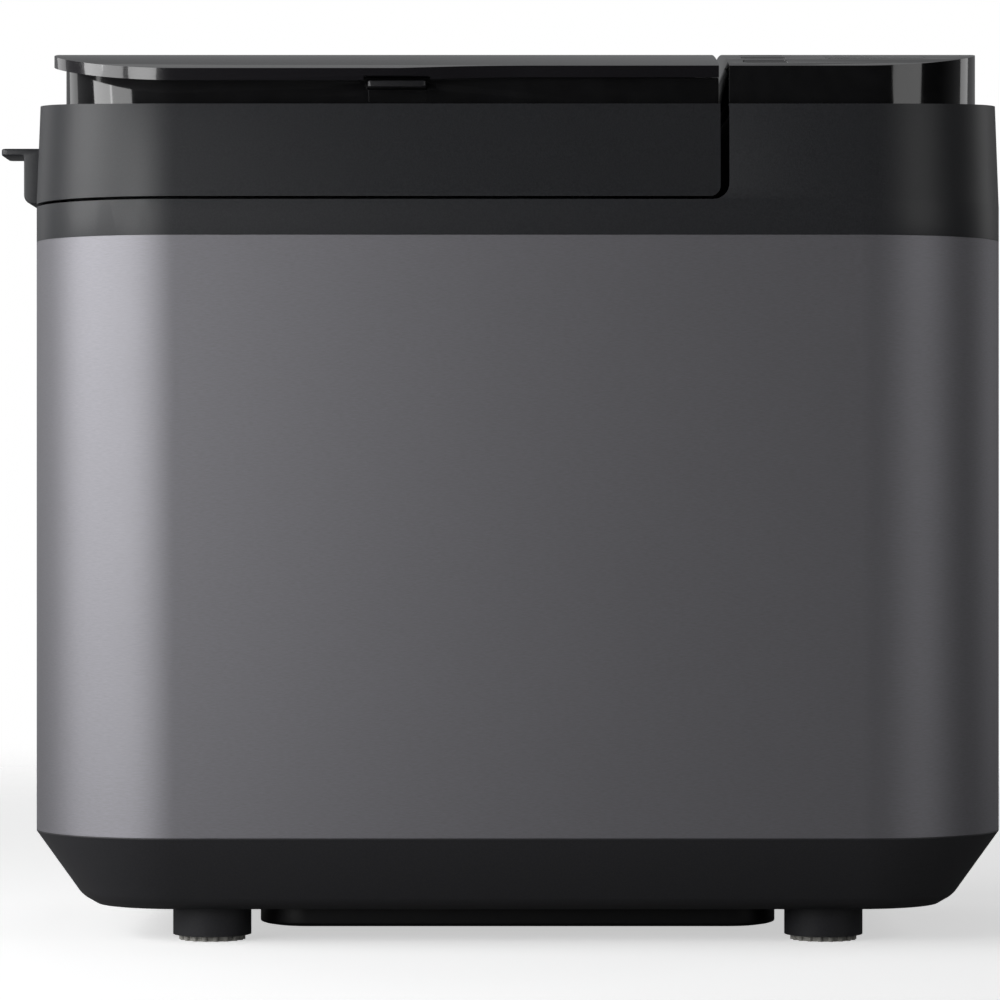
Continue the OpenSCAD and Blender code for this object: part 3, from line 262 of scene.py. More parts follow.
def work(piece: bpy.types.Object, how: Cut, *tools: bpy.types.Object) -> bpy.types.Object:
    """Cuts, trims or joins a piece with tools, which are used up.

    Args:
        piece: The object to change.
        how: Whether the tools are taken away, kept or added.
        tools: The closed meshes to work with.

    Returns:
        The same object.
    """
    for tool in tools:
        modify(piece, "BOOLEAN", operation=how.value, object=tool, solver="EXACT")
        bpy.data.objects.remove(tool)
    return piece


def soften(
    piece: bpy.types.Object, width: float, steps: int = 2, sharp: float = 32.0, split: bool = False,
) -> bpy.types.Object:
    """Rounds every sharp edge, as a mould or a deburred sheet does, and shades what is left smoothly.

    Args:
        piece: The object to finish.
        width: The width of the rounding, in metres.
        steps: How many facets the rounding has.
        sharp: The angle in degrees past which an edge counts as sharp.
        split: Whether flat faces that wrap round an opening are split into convex ones first, so that none of them
            closes over it.

    Returns:
        The same object.
    """
    focus(piece)
    with editing(piece, "VERT"):
        bpy.ops.mesh.select_all(action="SELECT")
        bpy.ops.mesh.remove_doubles(threshold=0.004 * MM)
        bpy.ops.mesh.dissolve_limited(angle_limit=math.radians(0.05), use_dissolve_boundaries=False)
        if split:
            bpy.ops.mesh.vert_connect_concave()
            bpy.ops.mesh.dissolve_degenerate(threshold=0.004 * MM)
            bpy.ops.mesh.select_all(action="SELECT")
            bpy.ops.mesh.delete_loose(use_faces=False)
    modify(
        piece, "BEVEL", width=width, segments=steps, limit_method="ANGLE", angle_limit=math.radians(sharp),
        use_clamp_overlap=True, miter_outer="MITER_ARC", harden_normals=False,
    )
    return smooth(piece)


def merge(piece: bpy.types.Object) -> bpy.types.Object:
    """Joins corners that lie within a hair of each other, so that the next cut meets a clean mesh."""
    with editing(piece, "VERT"):
        bpy.ops.mesh.select_all(action="SELECT")
        bpy.ops.mesh.remove_doubles(threshold=0.004 * MM)
    return piece


def smooth(piece: bpy.types.Object, sharp: float = 32.0) -> bpy.types.Object:
    """Points the normals outwards and shades the piece smoothly up to an angle."""
    with editing(piece):
        bpy.ops.mesh.select_all(action="SELECT")
        bpy.ops.mesh.normals_make_consistent(inside=False)
    focus(piece)
    bpy.ops.object.shade_smooth_by_angle(angle=math.radians(sharp))
    return piece


def crest(name: str, apex: float, radius: float, y: float = 0.0, steps: int = 640) -> bpy.types.Object:
    """A long cylinder along X whose highest line is at a height, to trim a crowned top with.

    Args:
        name: The tool's name.
        apex: The height of its highest line.
        radius: Its radius.
        y: The place of that line across the depth.
        steps: How many facets it has round.

    Returns:
        The tool.
    """
    return rod(name, (0, y, apex - radius), radius, 2.0, Axis.X, steps)


# ---------------------------------------------------------------------------------------------------------------
# Finishes: what each surface is made of and how it was made
# ---------------------------------------------------------------------------------------------------------------


def linear(code: str) -> tuple[float, float, float, float]:
    """Turns an sRGB hex colour such as #2a2b2d into linear red, green, blue and an alpha of 1."""
    parts = [int(code[i : i + 2], 16) / 255 for i in (1, 3, 5)]
    return (*[p / 12.92 if p <= 0.04045 else ((p + 0.055) / 1.055) ** 2.4 for p in parts], 1.0)


def add(
    tree: bpy.types.NodeTree, kind: str, settings: dict[str, object] | None = None,
    links: dict[str, bpy.types.NodeSocket] | None = None,
) -> bpy.types.Node:
    """Adds one shader node.

    Args:
        tree: The material's node tree.
        kind: The node's type, without its ShaderNode prefix.
        settings: Values for its sockets, or for its own properties where no socket has the name.
        links: What is linked to its sockets, by the socket's name or number.

    Returns:
        The new node.
    """
    made = tree.nodes.new("ShaderNode" + kind)
    for key, value in (settings or {}).items():
        if isinstance(key, int) or key in made.inputs:
            made.inputs[key].default_value = value
        else:
            setattr(made, key, value)
    for key, source in (links or {}).items():
        tree.links.new(source, made.inputs[key])
    return made


def blend_colours(
    tree: bpy.types.NodeTree, share: bpy.types.NodeSocket, low: str, high: str, edges: tuple[float, float]
) -> bpy.types.NodeSocket:
    """A colour that goes from one hex value to another as a pattern rises between two levels.

    Args:
        tree: The material's node tree.
        share: The pattern.
        low: The colour at and under the lower level.
        high: The colour at and over the upper one.
        edges: The two levels.

    Returns:
        The colour's socket.
    """
    ramp = add(tree, "ValToRGB", links={"Fac": share})
    for element, place, code in zip(ramp.color_ramp.elements, edges, (low, high)):
        element.position, element.color = place, linear(code)
    return ramp.outputs["Color"]


@dataclass(frozen=True)
class Finish:
    """A surface with a fine pattern in colour, roughness and relief.

    Args:
        name: The material's name, in a maker's words.
        colour: The main colour, as sRGB hex.
        shade: The colour of the pattern's low places.
        roughness: The mean roughness.
        spread: How far the roughness varies either way.
        grain: The size of the pattern's grain along X, Y and Z, in millimetres.
        depth: The relief's depth, in millimetres.
        metallic: 1 for a metal and 0 for anything else.
        ior: The index of refraction.
        coat: The weight of a clear layer on top.
        coat_rough: The roughness of that layer.
        sheen: The weight of a soft bloom, for rubber.
    """

    name: str
    colour: str
    shade: str
    roughness: float
    spread: float = 0.05
    grain: Point = (0.8, 0.8, 0.8)
    depth: float = 0.02
    metallic: float = 0.0
    ior: float = 1.5
    coat: float = 0.0
    coat_rough: float = 0.05
    sheen: float = 0.0

    def pattern(self, tree: bpy.types.NodeTree) -> bpy.types.NodeSocket:
        """The grain: soft noise whose period is the stated size in each direction.

        Args:
            tree: The material's node tree.

        Returns:
            A socket from 0 to 1.
        """
        place = add(tree, "TexCoord")
        scale = tuple(1 / (size * MM) for size in self.grain)
        turned = add(tree, "Mapping", {"Scale": scale}, {"Vector": place.outputs["Object"]})
        noise = add(
            tree, "TexNoise", {"Scale": 1.0, "Detail": 2.0, "Roughness": 0.55}, {"Vector": turned.outputs["Vector"]}
        )
        return noise.outputs["Fac"]

    def clouds(self, tree: bpy.types.NodeTree) -> bpy.types.NodeSocket:
        """Slow variation over about 35 mm, as wiping and handling leave it."""
        place = add(tree, "TexCoord")
        noise = add(tree, "TexNoise", {"Scale": 28.0, "Detail": 3.0}, {"Vector": place.outputs["Object"]})
        return noise.outputs["Fac"]

    def material(self) -> bpy.types.Material:
        """Builds the material.

        Returns:
            The material, with its shader linked to the output.
        """
        made = bpy.data.materials.new(self.name)
        made.use_nodes = True
        tree = made.node_tree
        tree.nodes.clear()
        grain = self.pattern(tree)
        colour = blend_colours(tree, grain, self.shade, self.colour, (0.3, 0.7))
        mixed = add(tree, "Math", {"operation": "MULTIPLY_ADD", 1: 0.35}, {0: self.clouds(tree), 2: grain})
        rough = add(
            tree, "MapRange",
            {"From Min": 0.2, "From Max": 1.15, "To Min": self.roughness - self.spread,
             "To Max": self.roughness + self.spread},
            {"Value": mixed.outputs[0]},
        )
        relief = add(tree, "Bump", {"Strength": 0.6, "Distance": self.depth * MM}, {"Height": grain})
        shader = add(
            tree, "BsdfPrincipled",
            {"Metallic": self.metallic, "IOR": self.ior, "Coat Weight": self.coat,
             "Coat Roughness": self.coat_rough, "Sheen Weight": self.sheen},
            {"Base Color": colour, "Roughness": rough.outputs[0], "Normal": relief.outputs["Normal"]},
        )
        self.extras(tree, shader)
        add(tree, "OutputMaterial", links={"Surface": shader.outputs[0]})
        return made

    def extras(self, tree: bpy.types.NodeTree, shader: bpy.types.Node) -> None:
        """Nothing more on a plain finish."""


@dataclass(frozen=True)
class Flecked(Finish):
    """A sprayed coating with paler flecks about a millimetre apart, as on non-stick bakeware.

    Args:
        fleck: The flecks' colour.
        pitch: The distance between flecks, in millimetres.
    """

    fleck: str = "#8a8580"
    pitch: float = 1.6

    def extras(self, tree: bpy.types.NodeTree, shader: bpy.types.Node) -> None:
        """Adds the flecks over the base colour.

        Args:
            tree: The material's node tree.
            shader: The surface's shader.
        """
        place = add(tree, "TexCoord")
        cells = add(tree, "TexVoronoi", {"Scale": 1 / (self.pitch * MM)}, {"Vector": place.outputs["Object"]})
        dots = add(
            tree, "MapRange", {"From Min": 0.16, "From Max": 0.1, "To Min": 0.0, "To Max": 1.0},
            {"Value": cells.outputs["Distance"]},
        )
        under = shader.inputs["Base Color"].links[0].from_socket
        mix = add(tree, "Mix", {"data_type": "RGBA"}, {"Factor": dots.outputs[0]})
        tree.links.new(under, mix.inputs[6])
        mix.inputs[7].default_value = linear(self.fleck)
        tree.links.new(mix.outputs[2], shader.inputs["Base Color"])


@dataclass(frozen=True)
class Printed(Finish):
    """Lacquered circuit board: copper tracks under green solder resist.

    Args:
        track: The colour of the resist over a track.
        pitch: The distance between tracks, in millimetres.
    """

    track: str = "#3f8a52"
    pitch: float = 5.0

    def extras(self, tree: bpy.types.NodeTree, shader: bpy.types.Node) -> None:
        """Adds the tracks as thin bands between the cells of a coarse pattern.

        Args:
            tree: The material's node tree.
            shader: The surface's shader.
        """
        place = add(tree, "TexCoord")
        cells = add(
            tree, "TexVoronoi", {"feature": "DISTANCE_TO_EDGE", "Scale": 1 / (self.pitch * MM), "Randomness": 0.4},
            {"Vector": place.outputs["Object"]},
        )
        band = blend_colours(tree, cells.outputs["Distance"], self.track, self.colour, (0.06, 0.09))
        tree.links.new(band, shader.inputs["Base Color"])


@dataclass(frozen=True)
class Pane(Finish):
    """Clear moulded acrylic, such as a display window.

    Args:
        clearness: How much light goes through, from 0 to 1.
    """

    clearness: float = 0.9

    def extras(self, tree: bpy.types.NodeTree, shader: bpy.types.Node) -> None:
        """Lets light through the shader."""
        shader.inputs["Transmission Weight"].default_value = self.clearness


PALETTE: dict[str, Finish] = {
    # Moulded ABS with a fine spark-eroded mould texture: broad soft highlights and no clear reflection
    "base_plastic": Finish("textured_black_abs", "#37373a", "#2e2e31", 0.46, 0.06, (0.7, 0.7, 0.7), 0.03),
    # Belly pan: black polypropylene whose near-black colour, darker than the base's, is partly painted shadow for the
    # shade under the machine
    "belly_plastic": Finish("textured_black_polypropylene_and_painted_shadow", "#131315", "#0e0e10", 0.5, 0.06, (0.9, 0.9, 0.9), 0.03),
    "matte_cover": Finish("textured_charcoal_abs", "#313235", "#292a2d", 0.42, 0.06, (0.6, 0.6, 0.6), 0.03),
    "grip_plastic": Finish("ribbed_black_phenolic", "#1d1d1f", "#151517", 0.4, 0.06, (0.8, 0.8, 0.8), 0.02),
    "dispenser_plastic": Finish("dark_grey_polypropylene", "#3c3d40", "#313235", 0.38, 0.05, (1.2, 1.2, 1.2), 0.015),
    "pulley_nylon": Finish("natural_nylon", "#cfcabb", "#c2bcab", 0.45, 0.05, (1.5, 1.5, 1.5), 0.02, ior=1.53),
    # Polished-mould ABS: near-black, with a mirror-like skin and a trace of moulding ripple
    "gloss_black": Finish(
        "polished_black_abs", "#1e1e1f", "#19191a", 0.09, 0.03, (9.0, 9.0, 9.0), 0.004, ior=1.53, coat=0.5,
        coat_rough=0.03,
    ),
    "gloss_cover": Finish(
        "lacquered_graphite_abs", "#242326", "#1f1e21", 0.2, 0.04, (0.35, 0.35, 0.35), 0.002, coat=1.0, coat_rough=0.04,
    ),
    "catch_plastic": Finish("satin_dark_grey_abs", "#2c2c2e", "#242426", 0.3, 0.05, (0.7, 0.7, 0.7), 0.01),
    "key_plastic": Finish("satin_black_abs", "#2b2b2e", "#232326", 0.3, 0.05, (0.6, 0.6, 0.6), 0.012),
    "capacitor_shell": Finish("dark_blue_shell", "#26344c", "#1f2b40", 0.3, 0.04, (2.0, 2.0, 2.0), 0.01),
    # Rubber: soft bloom, no clear highlight
    "foot_rubber": Finish("pale_grey_rubber", "#b6b4ae", "#a4a29c", 0.72, 0.08, (0.9, 0.9, 0.9), 0.04, sheen=0.15),
    "black_rubber": Finish("black_rubber", "#1c1c1d", "#141415", 0.7, 0.08, (0.9, 0.9, 0.9), 0.03, sheen=0.15),
    "belt_rubber": Finish("neoprene_belt", "#161617", "#101011", 0.62, 0.08, (0.7, 0.7, 3.0), 0.03, sheen=0.1),
    # Stainless sheet with a fine matt grain: no lines show at arm's length, and a broad,
    # soft gradient runs round each corner
    "brushed_wrap": Finish(
        "satin_dark_stainless", "#99989e", "#908f93", 0.56, 0.03, (2.4, 2.4, 0.25), 0.0015, metallic=1.0,
    ),
    "polished_steel": Finish("ground_steel", "#c6c8ca", "#b4b6b8", 0.2, 0.06, (0.5, 12.0, 12.0), 0.003, metallic=1.0),
    "liner_sheet": Finish("rolled_aluminium", "#c9cacb", "#bcbdbe", 0.34, 0.06, (18.0, 0.5, 18.0), 0.004, metallic=1.0),
    "zinc_sheet": Finish("zinc_coated_steel", "#a9acae", "#8e9193", 0.42, 0.1, (7.0, 7.0, 7.0), 0.004, metallic=1.0),
    "motor_steel": Finish("plated_steel", "#aeb0b1", "#989a9b", 0.36, 0.08, (4.0, 4.0, 4.0), 0.004, metallic=1.0),
    "die_cast": Finish("zinc_die_casting", "#9b9da0", "#86888b", 0.45, 0.08, (0.8, 0.8, 0.8), 0.03, metallic=1.0),
    "heater_tube": Finish("oxidised_heater_sheath", "#5b5855", "#45423f", 0.5, 0.08, (2.5, 2.5, 2.5), 0.02, metallic=1.0),
    "bronze_bush": Finish("sintered_bronze", "#a5793f", "#8a6433", 0.42, 0.06, (0.4, 0.4, 0.4), 0.02, metallic=1.0),
    "oven_sheet": Finish("grey_baked_coating", "#74777a", "#686b6e", 0.42, 0.06, (1.0, 1.0, 1.0), 0.015, metallic=0.6),
    "nonstick": Flecked("fluoropolymer_coating", "#3a3836", "#302e2c", 0.36, 0.06, (0.9, 0.9, 0.9), 0.015),
    "circuit_board": Printed("green_circuit_board", "#1f5a30", "#1a4c29", 0.3, 0.05, (3.0, 3.0, 3.0), 0.01, coat=0.4),
    "window": Pane("clear_acrylic", "#dfe4e2", "#d8dddb", 0.06, 0.02, (12.0, 12.0, 12.0), 0.001, ior=1.49),
}
MATERIALS: dict[str, bpy.types.Material] = {slot: finish.material() for slot, finish in PALETTE.items()}


# ---------------------------------------------------------------------------------------------------------------
# Assemblies: each class builds its own pieces and sets them on their bodies
# ---------------------------------------------------------------------------------------------------------------


@dataclass
class Assembly:
    """A group of pieces that ride on one body.

    Args:
        body: The body that the pieces move with.
    """

    body: str

    def place(self, piece: bpy.types.Object, slot: str, *nodes: str, body: str | None = None) -> bpy.types.Object:
        """Dresses a finished piece and hands it to its body.

        Args:
            piece: The finished mesh.
            slot: The finish's name in the palette and the record.
            nodes: The frame's nodes that the piece stands for.
            body: The body to ride on, where it isn't the assembly's own.

        Returns:
            The same object.
        """
        piece.data.materials.clear()
        piece.data.materials.append(MATERIALS[slot])
        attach(piece, body or self.body)
        if nodes:
            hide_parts(*nodes)
        LOG.info("%-24s %-20s %6d faces", piece.name, slot, len(piece.data.polygons))
        return piece

    def finished_copy(self, node: str, slot: str, edge: float = 0.3 * MM, body: str | None = None) -> bpy.types.Object:
        """A merged copy of a node whose shape is right, with its edges broken as a real part's are.

        Args:
            node: The frame's node.
            slot: The finish's name.
            edge: The width of the broken edges, in metres.
            body: The body to ride on, where it isn't the assembly's own.

        Returns:
            The copy, which stands for the node.
        """
        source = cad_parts[node]
        piece = bpy.data.objects.new(node + "_finished", source.data.copy())
        bpy.context.scene.collection.objects.link(piece)
        soften(piece, edge)
        return self.place(piece, slot, node, body=body)


@dataclass
class Form:
    """Heights and outlines that the case, the lid and the panel share, in metres.

    Args:
        corner: The plan radius of the case.
        wall: The thickness of the mouldings.
        band: The height of the frame's band over the steel wrap.
        draft: How far the moulded walls lean in over their height.
        rise: How far the crowned shoulder rises from its front edge to the middle.
        crown: The radius of the crowned top.
        cover: The thickness of the dispenser cover.
        riser: How far the glossy riser stands in from the case.
        panel: How far the control panel stands in from the case.
        gap: The gap between the lid and the control housing.
        slip: The clearance of a cover in its opening.
    """

    corner: float = 60 * MM
    wall: float = 2.5 * MM
    band: float = 14 * MM
    draft: float = 1.6 * MM
    rise: float = 4.8 * MM
    crown: float = 475 * MM
    cover: float = 4.6 * MM
    riser: float = 12 * MM
    panel: float = 9.6 * MM
    gap: float = 3.6 * MM
    slip: float = 0.15 * MM

    def __post_init__(self) -> None:
        """Reads the places that the shapes hang on from the frame."""
        self.low, self.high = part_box("body_wrap")
        self.band_top = self.high.z + self.band
        self.deck = self.band_top - 2.6 * MM
        self.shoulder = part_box("top_frame")[1].z
        self.shoulder_radius = (self.high.y**2) / (2 * self.rise)
        self.under = self.shoulder - self.rise - 2.8 * MM
        self.ledge = self.under - 1 * MM
        self.lid_low = self.band_top + 1.2 * MM
        self.lid_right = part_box("lid_shell")[1].x
        self.housing = self.lid_right + self.gap
        self.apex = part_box("dispenser_cover")[1].z
        self.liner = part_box("lid_liner")[0].z
        self.bay = (self.low.x + self.lid_right) / 2

    def outline(self, name: str, inset: float, low: float, high: float, steps: int = 28) -> bpy.types.Object:
        """The case's outline drawn in by an inset, between two heights.

        Args:
            name: The tool's name.
            inset: How far it is drawn in.
            low: Its lowest height.
            high: Its highest height.
            steps: How many facets each corner has.

        Returns:
            The tool.
        """
        return block(
            name, (self.low.x + inset, self.low.y + inset, low), (self.high.x - inset, self.high.y - inset, high),
            self.corner - inset, steps,
        )

    def moulding(self, name: str, low: float, inset: float = 0.0, under: float = 0.0) -> bpy.types.Object:
        """The leaning, crowned body of the top, from a height up to its shoulder.

        Args:
            name: The tool's name.
            low: The height that it begins at.
            inset: How far its outline is drawn in.
            under: How far its crowned top is lowered.

        Returns:
            The tool.
        """
        tool = tapered(
            name, (self.low.x + inset, self.low.y + inset, low),
            (self.high.x - inset, self.high.y - inset, self.shoulder), self.corner - inset, self.draft,
        )
        return work(tool, Cut.KEEP, crest("shoulder", self.shoulder - under, self.shoulder_radius))

    def crown_at(self, y: float) -> float:
        """The height of the crowned top at a distance y from the middle of the depth."""
        return self.apex - self.crown + math.sqrt(self.crown**2 - y**2)


def side(x: float, right: bool) -> bpy.types.Object:
    """Everything to one side of an upright plane across X, as a cutting tool.

    Args:
        x: The place of the plane.
        right: Whether the tool fills the right side.

    Returns:
        The tool.
    """
    low, high = ((x, -1, -1), (1, 1, 1)) if right else ((-1, -1, -1), (x, 1, 1))
    return block("side", low, high)


@dataclass
class Case(Assembly):
    """The outer case: tapered base on four feet, belly pan, steel wrap and the moulded top frame.

    Args:
        body: The body that the pieces ride on.
        form: The shared heights and outlines.
        skin: The thickness of the steel wrap.
        slope: How far the base wall leans in over its height.
        nose: The further inset of the chamfer round the base's lower edge.
        foot: The radius of a foot post.
        pad: The radius of a rubber pad, over its bumps.
    """

    form: Form
    skin: float = 0.8 * MM
    slope: float = 18.5 * MM
    nose: float = 6 * MM
    foot: float = 15.8 * MM
    pad: float = 13.4 * MM

    def build(self) -> None:
        """Builds every piece of the case."""
        self.base()
        self.belly()
        self.pads()
        self.wrap()
        self.top_frame()
        self.finished_copy("chassis_plate", "zinc_sheet", 0.2 * MM)
        self.finished_copy("cord_gland", "black_rubber", 0.5 * MM)
        self.finished_copy("chassis_screws", "polished_steel", 0.12 * MM)

    def feet(self) -> list[Point]:
        """The places of the four feet on the floor, from the box round their pads."""
        low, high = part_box("foot_pads")
        return [
            (x, y, 0.0) for x in (low.x + self.pad, high.x - self.pad) for y in (low.y + self.pad, high.y - self.pad)
        ]

    def base(self) -> None:
        """The tapered base: faces inset step by step lean its wall and turn its lower edge."""
        low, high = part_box("base_shell")
        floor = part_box("belly_pan")[1].z
        turn = floor + 3.5 * MM
        lip = 0.5 * MM
        piece = block("base", (low.x, low.y, high.z - lip), tuple(high), self.form.corner, 28)
        with editing(piece):
            choose_faces(piece, lambda centre, normal: normal.z < -0.9)
            steps = 3
            for _ in range(steps):
                bpy.ops.mesh.inset(
                    thickness=self.slope / steps, depth=(high.z - lip - turn) / steps, use_even_offset=True
                )
            bpy.ops.mesh.inset(thickness=self.nose, depth=turn - floor, use_even_offset=True)
        with editing(piece, "EDGE"):
            choose_edges(piece, lambda middle, way: abs(way.z) < 0.1 and abs(middle.z - turn) < 0.1 * MM)
            bpy.ops.mesh.bevel(offset=2.2 * MM, segments=5, affect="EDGES")
        with editing(piece):
            choose_faces(piece, lambda centre, normal: normal.z > 0.9)
            bpy.ops.mesh.inset(thickness=self.form.wall, depth=0, use_even_offset=True)
            bpy.ops.mesh.inset(
                thickness=(high.z - floor - 4 * MM) * self.slope / (high.z - turn), depth=-(high.z - floor - 4 * MM),
                use_even_offset=True,
            )
        places = self.feet()
        pad_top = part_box("foot_pads")[1].z
        first = Vector(places[0])
        post = rod("post", (first.x, first.y, (pad_top + turn) / 2), self.foot, turn - pad_top, steps=96)
        with editing(post):
            choose_faces(post, lambda centre, normal: normal.z < -0.9)
            bpy.ops.mesh.inset(thickness=1.2 * MM, depth=0)
            bpy.ops.mesh.extrude_region_move(TRANSFORM_OT_translate={"value": (0, 0, 0.6 * MM)})
        posts = [copied(post, "post", tuple(Vector(place) - first)) for place in places[1:]]
        work(piece, Cut.ADD, post, *posts)
        belly_low, belly_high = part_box("belly_pan")
        lap = 8 * MM
        work(piece, Cut.TAKE, block(
            "belly_hole", (belly_low.x + lap, belly_low.y + lap, 5 * MM),
            (belly_high.x - lap, belly_high.y - lap, high.z), 12 * MM, 10,
        ))
        gland_low, gland_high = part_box("cord_gland")
        work(piece, Cut.TAKE, rod(
            "gland_hole", tuple((gland_low + gland_high) / 2 + Vector((0, 10 * MM, 0))), 7.05 * MM, 60 * MM, Axis.Y, 48
        ))
        self.vents(piece, floor)
        soften(piece, 0.5 * MM, 2, 34)
        self.place(piece, "base_plastic", "base_shell", "foot_posts")

    def vents(self, piece: bpy.types.Object, floor: float) -> None:
        """Cuts a row of air slots in the base's floor, left of the belly pan.

        Args:
            piece: The base.
            floor: The height of its floor.
        """
        slot, length, pitch = 3 * MM, 34 * MM, 6 * MM
        left = self.feet()[0][0] - self.foot - pitch
        first = block("vent", (left, -length / 2, floor - 5 * MM), (left + slot, length / 2, floor + 5 * MM), 1.4 * MM, 6)
        rest = [copied(first, "vent", (-i * pitch, 0, 0)) for i in range(1, 5)]
        work(piece, Cut.TAKE, first, *rest)

    def belly(self) -> None:
        """The dished pan under the belt: a rounded tray with a slightly bulging floor."""
        low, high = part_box("belly_pan")
        bulge = 1.6 * MM
        piece = block("belly", (low.x, low.y, low.z + bulge), tuple(high), 20 * MM, 14)
        with editing(piece):
            choose_faces(piece, lambda centre, normal: normal.z < -0.9)
            for thick, deep in ((2, 0.65), (3, 0.5), (4, 0.3), (5, 0.15)):
                bpy.ops.mesh.inset(thickness=thick * MM, depth=deep * MM, use_even_offset=True)
        with editing(piece):
            choose_faces(piece, lambda centre, normal: normal.z > 0.9)
            bpy.ops.mesh.inset(thickness=self.form.wall, depth=0, use_even_offset=True)
            bpy.ops.mesh.extrude_region_move(TRANSFORM_OT_translate={"value": (0, 0, -5 * MM)})
        soften(piece, 0.6 * MM, 3, 40)
        # The pan's near-black finish is partly its own colour and partly painted shadow for the shade under the machine
        self.place(piece, "belly_plastic", "belly_pan")

    def pads(self) -> None:
        """Four rubber pads, each a disc with small round bumps about its edge and a hollow in its middle."""
        places = self.feet()
        first = Vector(places[0])
        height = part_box("foot_pads")[1].z
        bump, count = 1.1 * MM, 18
        pad = rod("foot_pad", (first.x, first.y, height / 2), self.pad - bump, height, steps=72)
        with editing(pad):
            choose_faces(pad, lambda centre, normal: normal.z < -0.9)
            bpy.ops.mesh.inset(thickness=4 * MM, depth=0)
            bpy.ops.mesh.extrude_region_move(TRANSFORM_OT_translate={"value": (0, 0, 0.6 * MM)})
        ring = self.pad - bump
        for k in range(count):
            turn = 2 * math.pi * k / count
            at = (first.x + ring * math.cos(turn), first.y + ring * math.sin(turn), height / 2)
            work(pad, Cut.ADD, rod("bump", at, bump, height, steps=20))
        soften(pad, 0.3 * MM, 2, 40)
        for i, place in enumerate(places[1:]):
            self.place(copied(pad, f"foot_pad_{i + 2}", tuple(Vector(place) - first)), "foot_rubber", "foot_pads")
        self.place(pad, "foot_rubber", "foot_pads")

    def wrap(self) -> None:
        """The steel wrap: one sheet folded round the case, open above and below, with a seam behind."""
        low, high = self.form.low, self.form.high
        piece = block("steel_wrap", tuple(low), tuple(high), self.form.corner, 40)
        with editing(piece):
            choose_faces(piece, lambda centre, normal: abs(normal.z) > 0.9)
            bpy.ops.mesh.delete(type="FACE")
        modify(piece, "SOLIDIFY", thickness=self.skin, offset=-1, use_even_offset=True)
        seam = 0.3 * MM
        x = (low.x + high.x) / 2 - 40 * MM
        work(piece, Cut.TAKE, block("seam", (x, high.y - 0.35 * MM, low.z - 1), (x + seam, high.y + 1, high.z + 1)))
        soften(piece, 0.12 * MM, 1, 40)
        self.place(piece, "brushed_wrap", "body_wrap")

    def top_frame(self) -> None:
        """The top frame: band, deck, collar round the chamber and the housing under the control panel."""
        form = self.form
        low, high, wall = form.low, form.high, form.wall
        bottom, round_ = high.z, 6.5 * MM
        piece = form.outline("top_frame_moulding", 0, bottom, form.band_top)
        work(piece, Cut.ADD, form.moulding("housing", form.band_top - 0.5 * MM))
        space = block("lid_space", (low.x - 0.1, low.y - 0.1, form.band_top), (form.housing, high.y + 0.1, 0.5))
        with editing(space, "EDGE"):
            choose_edges(space, lambda middle, way: abs(way.y) > 0.9 and middle.x > 0 and middle.z < form.band_top + MM)
            bpy.ops.mesh.bevel(offset=round_, segments=12, affect="EDGES")
        work(piece, Cut.TAKE, space, form.outline("under_deck", wall, bottom - MM, form.deck - 2.2 * MM))
        hollow = form.moulding("hollow", bottom, wall, wall)
        work(piece, Cut.TAKE, work(hollow, Cut.TAKE, side(form.housing + wall, False)))
        recess = form.outline("recess", 2 * MM, form.deck, 0.5)
        work(piece, Cut.TAKE, work(recess, Cut.TAKE, side(form.housing - round_, True)))
        plug = form.outline("plug", form.panel - form.slip, form.ledge, 0.5)
        work(piece, Cut.TAKE, work(plug, Cut.TAKE, side(form.housing - 0.85 * MM, False)))
        rail = (form.housing - round_ - MM, 95 * MM, form.deck)
        work(piece, Cut.TAKE, block("rail_relief", rail, (form.lid_right + 0.6 * MM, high.y - 2 * MM, form.deck + 20 * MM)))
        seal_low, seal_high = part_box("lid_seal")
        lap, collar = 4.5 * MM, 3 * MM
        work(piece, Cut.ADD, block(
            "collar", (seal_low.x + lap - collar, seal_low.y + lap - collar, form.deck - MM),
            (seal_high.x - lap + collar, seal_high.y - lap + collar, form.deck + 5.2 * MM), 33 * MM, 18,
        ))
        work(piece, Cut.TAKE, block(
            "chamber_mouth", (seal_low.x + lap, seal_low.y + lap, bottom - MM),
            (seal_high.x - lap, seal_high.y - lap, 0.4), 30 * MM, 18,
        ))
        self.ears(piece)
        soften(piece, 0.7 * MM, 3, 34, split=True)
        self.place(piece, "matte_cover", "top_frame")

    def ears(self, piece: bpy.types.Object) -> None:
        """Joins two round-topped ears with bores for the lid's pins.

        Args:
            piece: The frame that they stand on.
        """
        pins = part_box("lid_hinge_pins")
        y, z = (pins[0].y + pins[1].y) / 2, (pins[0].z + pins[1].z) / 2
        grip, ear, thick = 9 * MM, 5.5 * MM, 5 * MM
        x = pins[0].x + grip + thick / 2
        web = block("web", (x - thick / 2, y - ear, self.form.deck - MM), (x + thick / 2, y + ear, z))
        work(web, Cut.ADD, rod("ear", (x, y, z), ear, thick, Axis.X, 64))
        work(web, Cut.TAKE, rod("bore", (x, y, z), 3.05 * MM, 2 * thick, Axis.X, 48))
        twin = copied(web, "web", (pins[1].x - grip - thick / 2 - x, 0, 0))
        work(piece, Cut.ADD, web, twin)


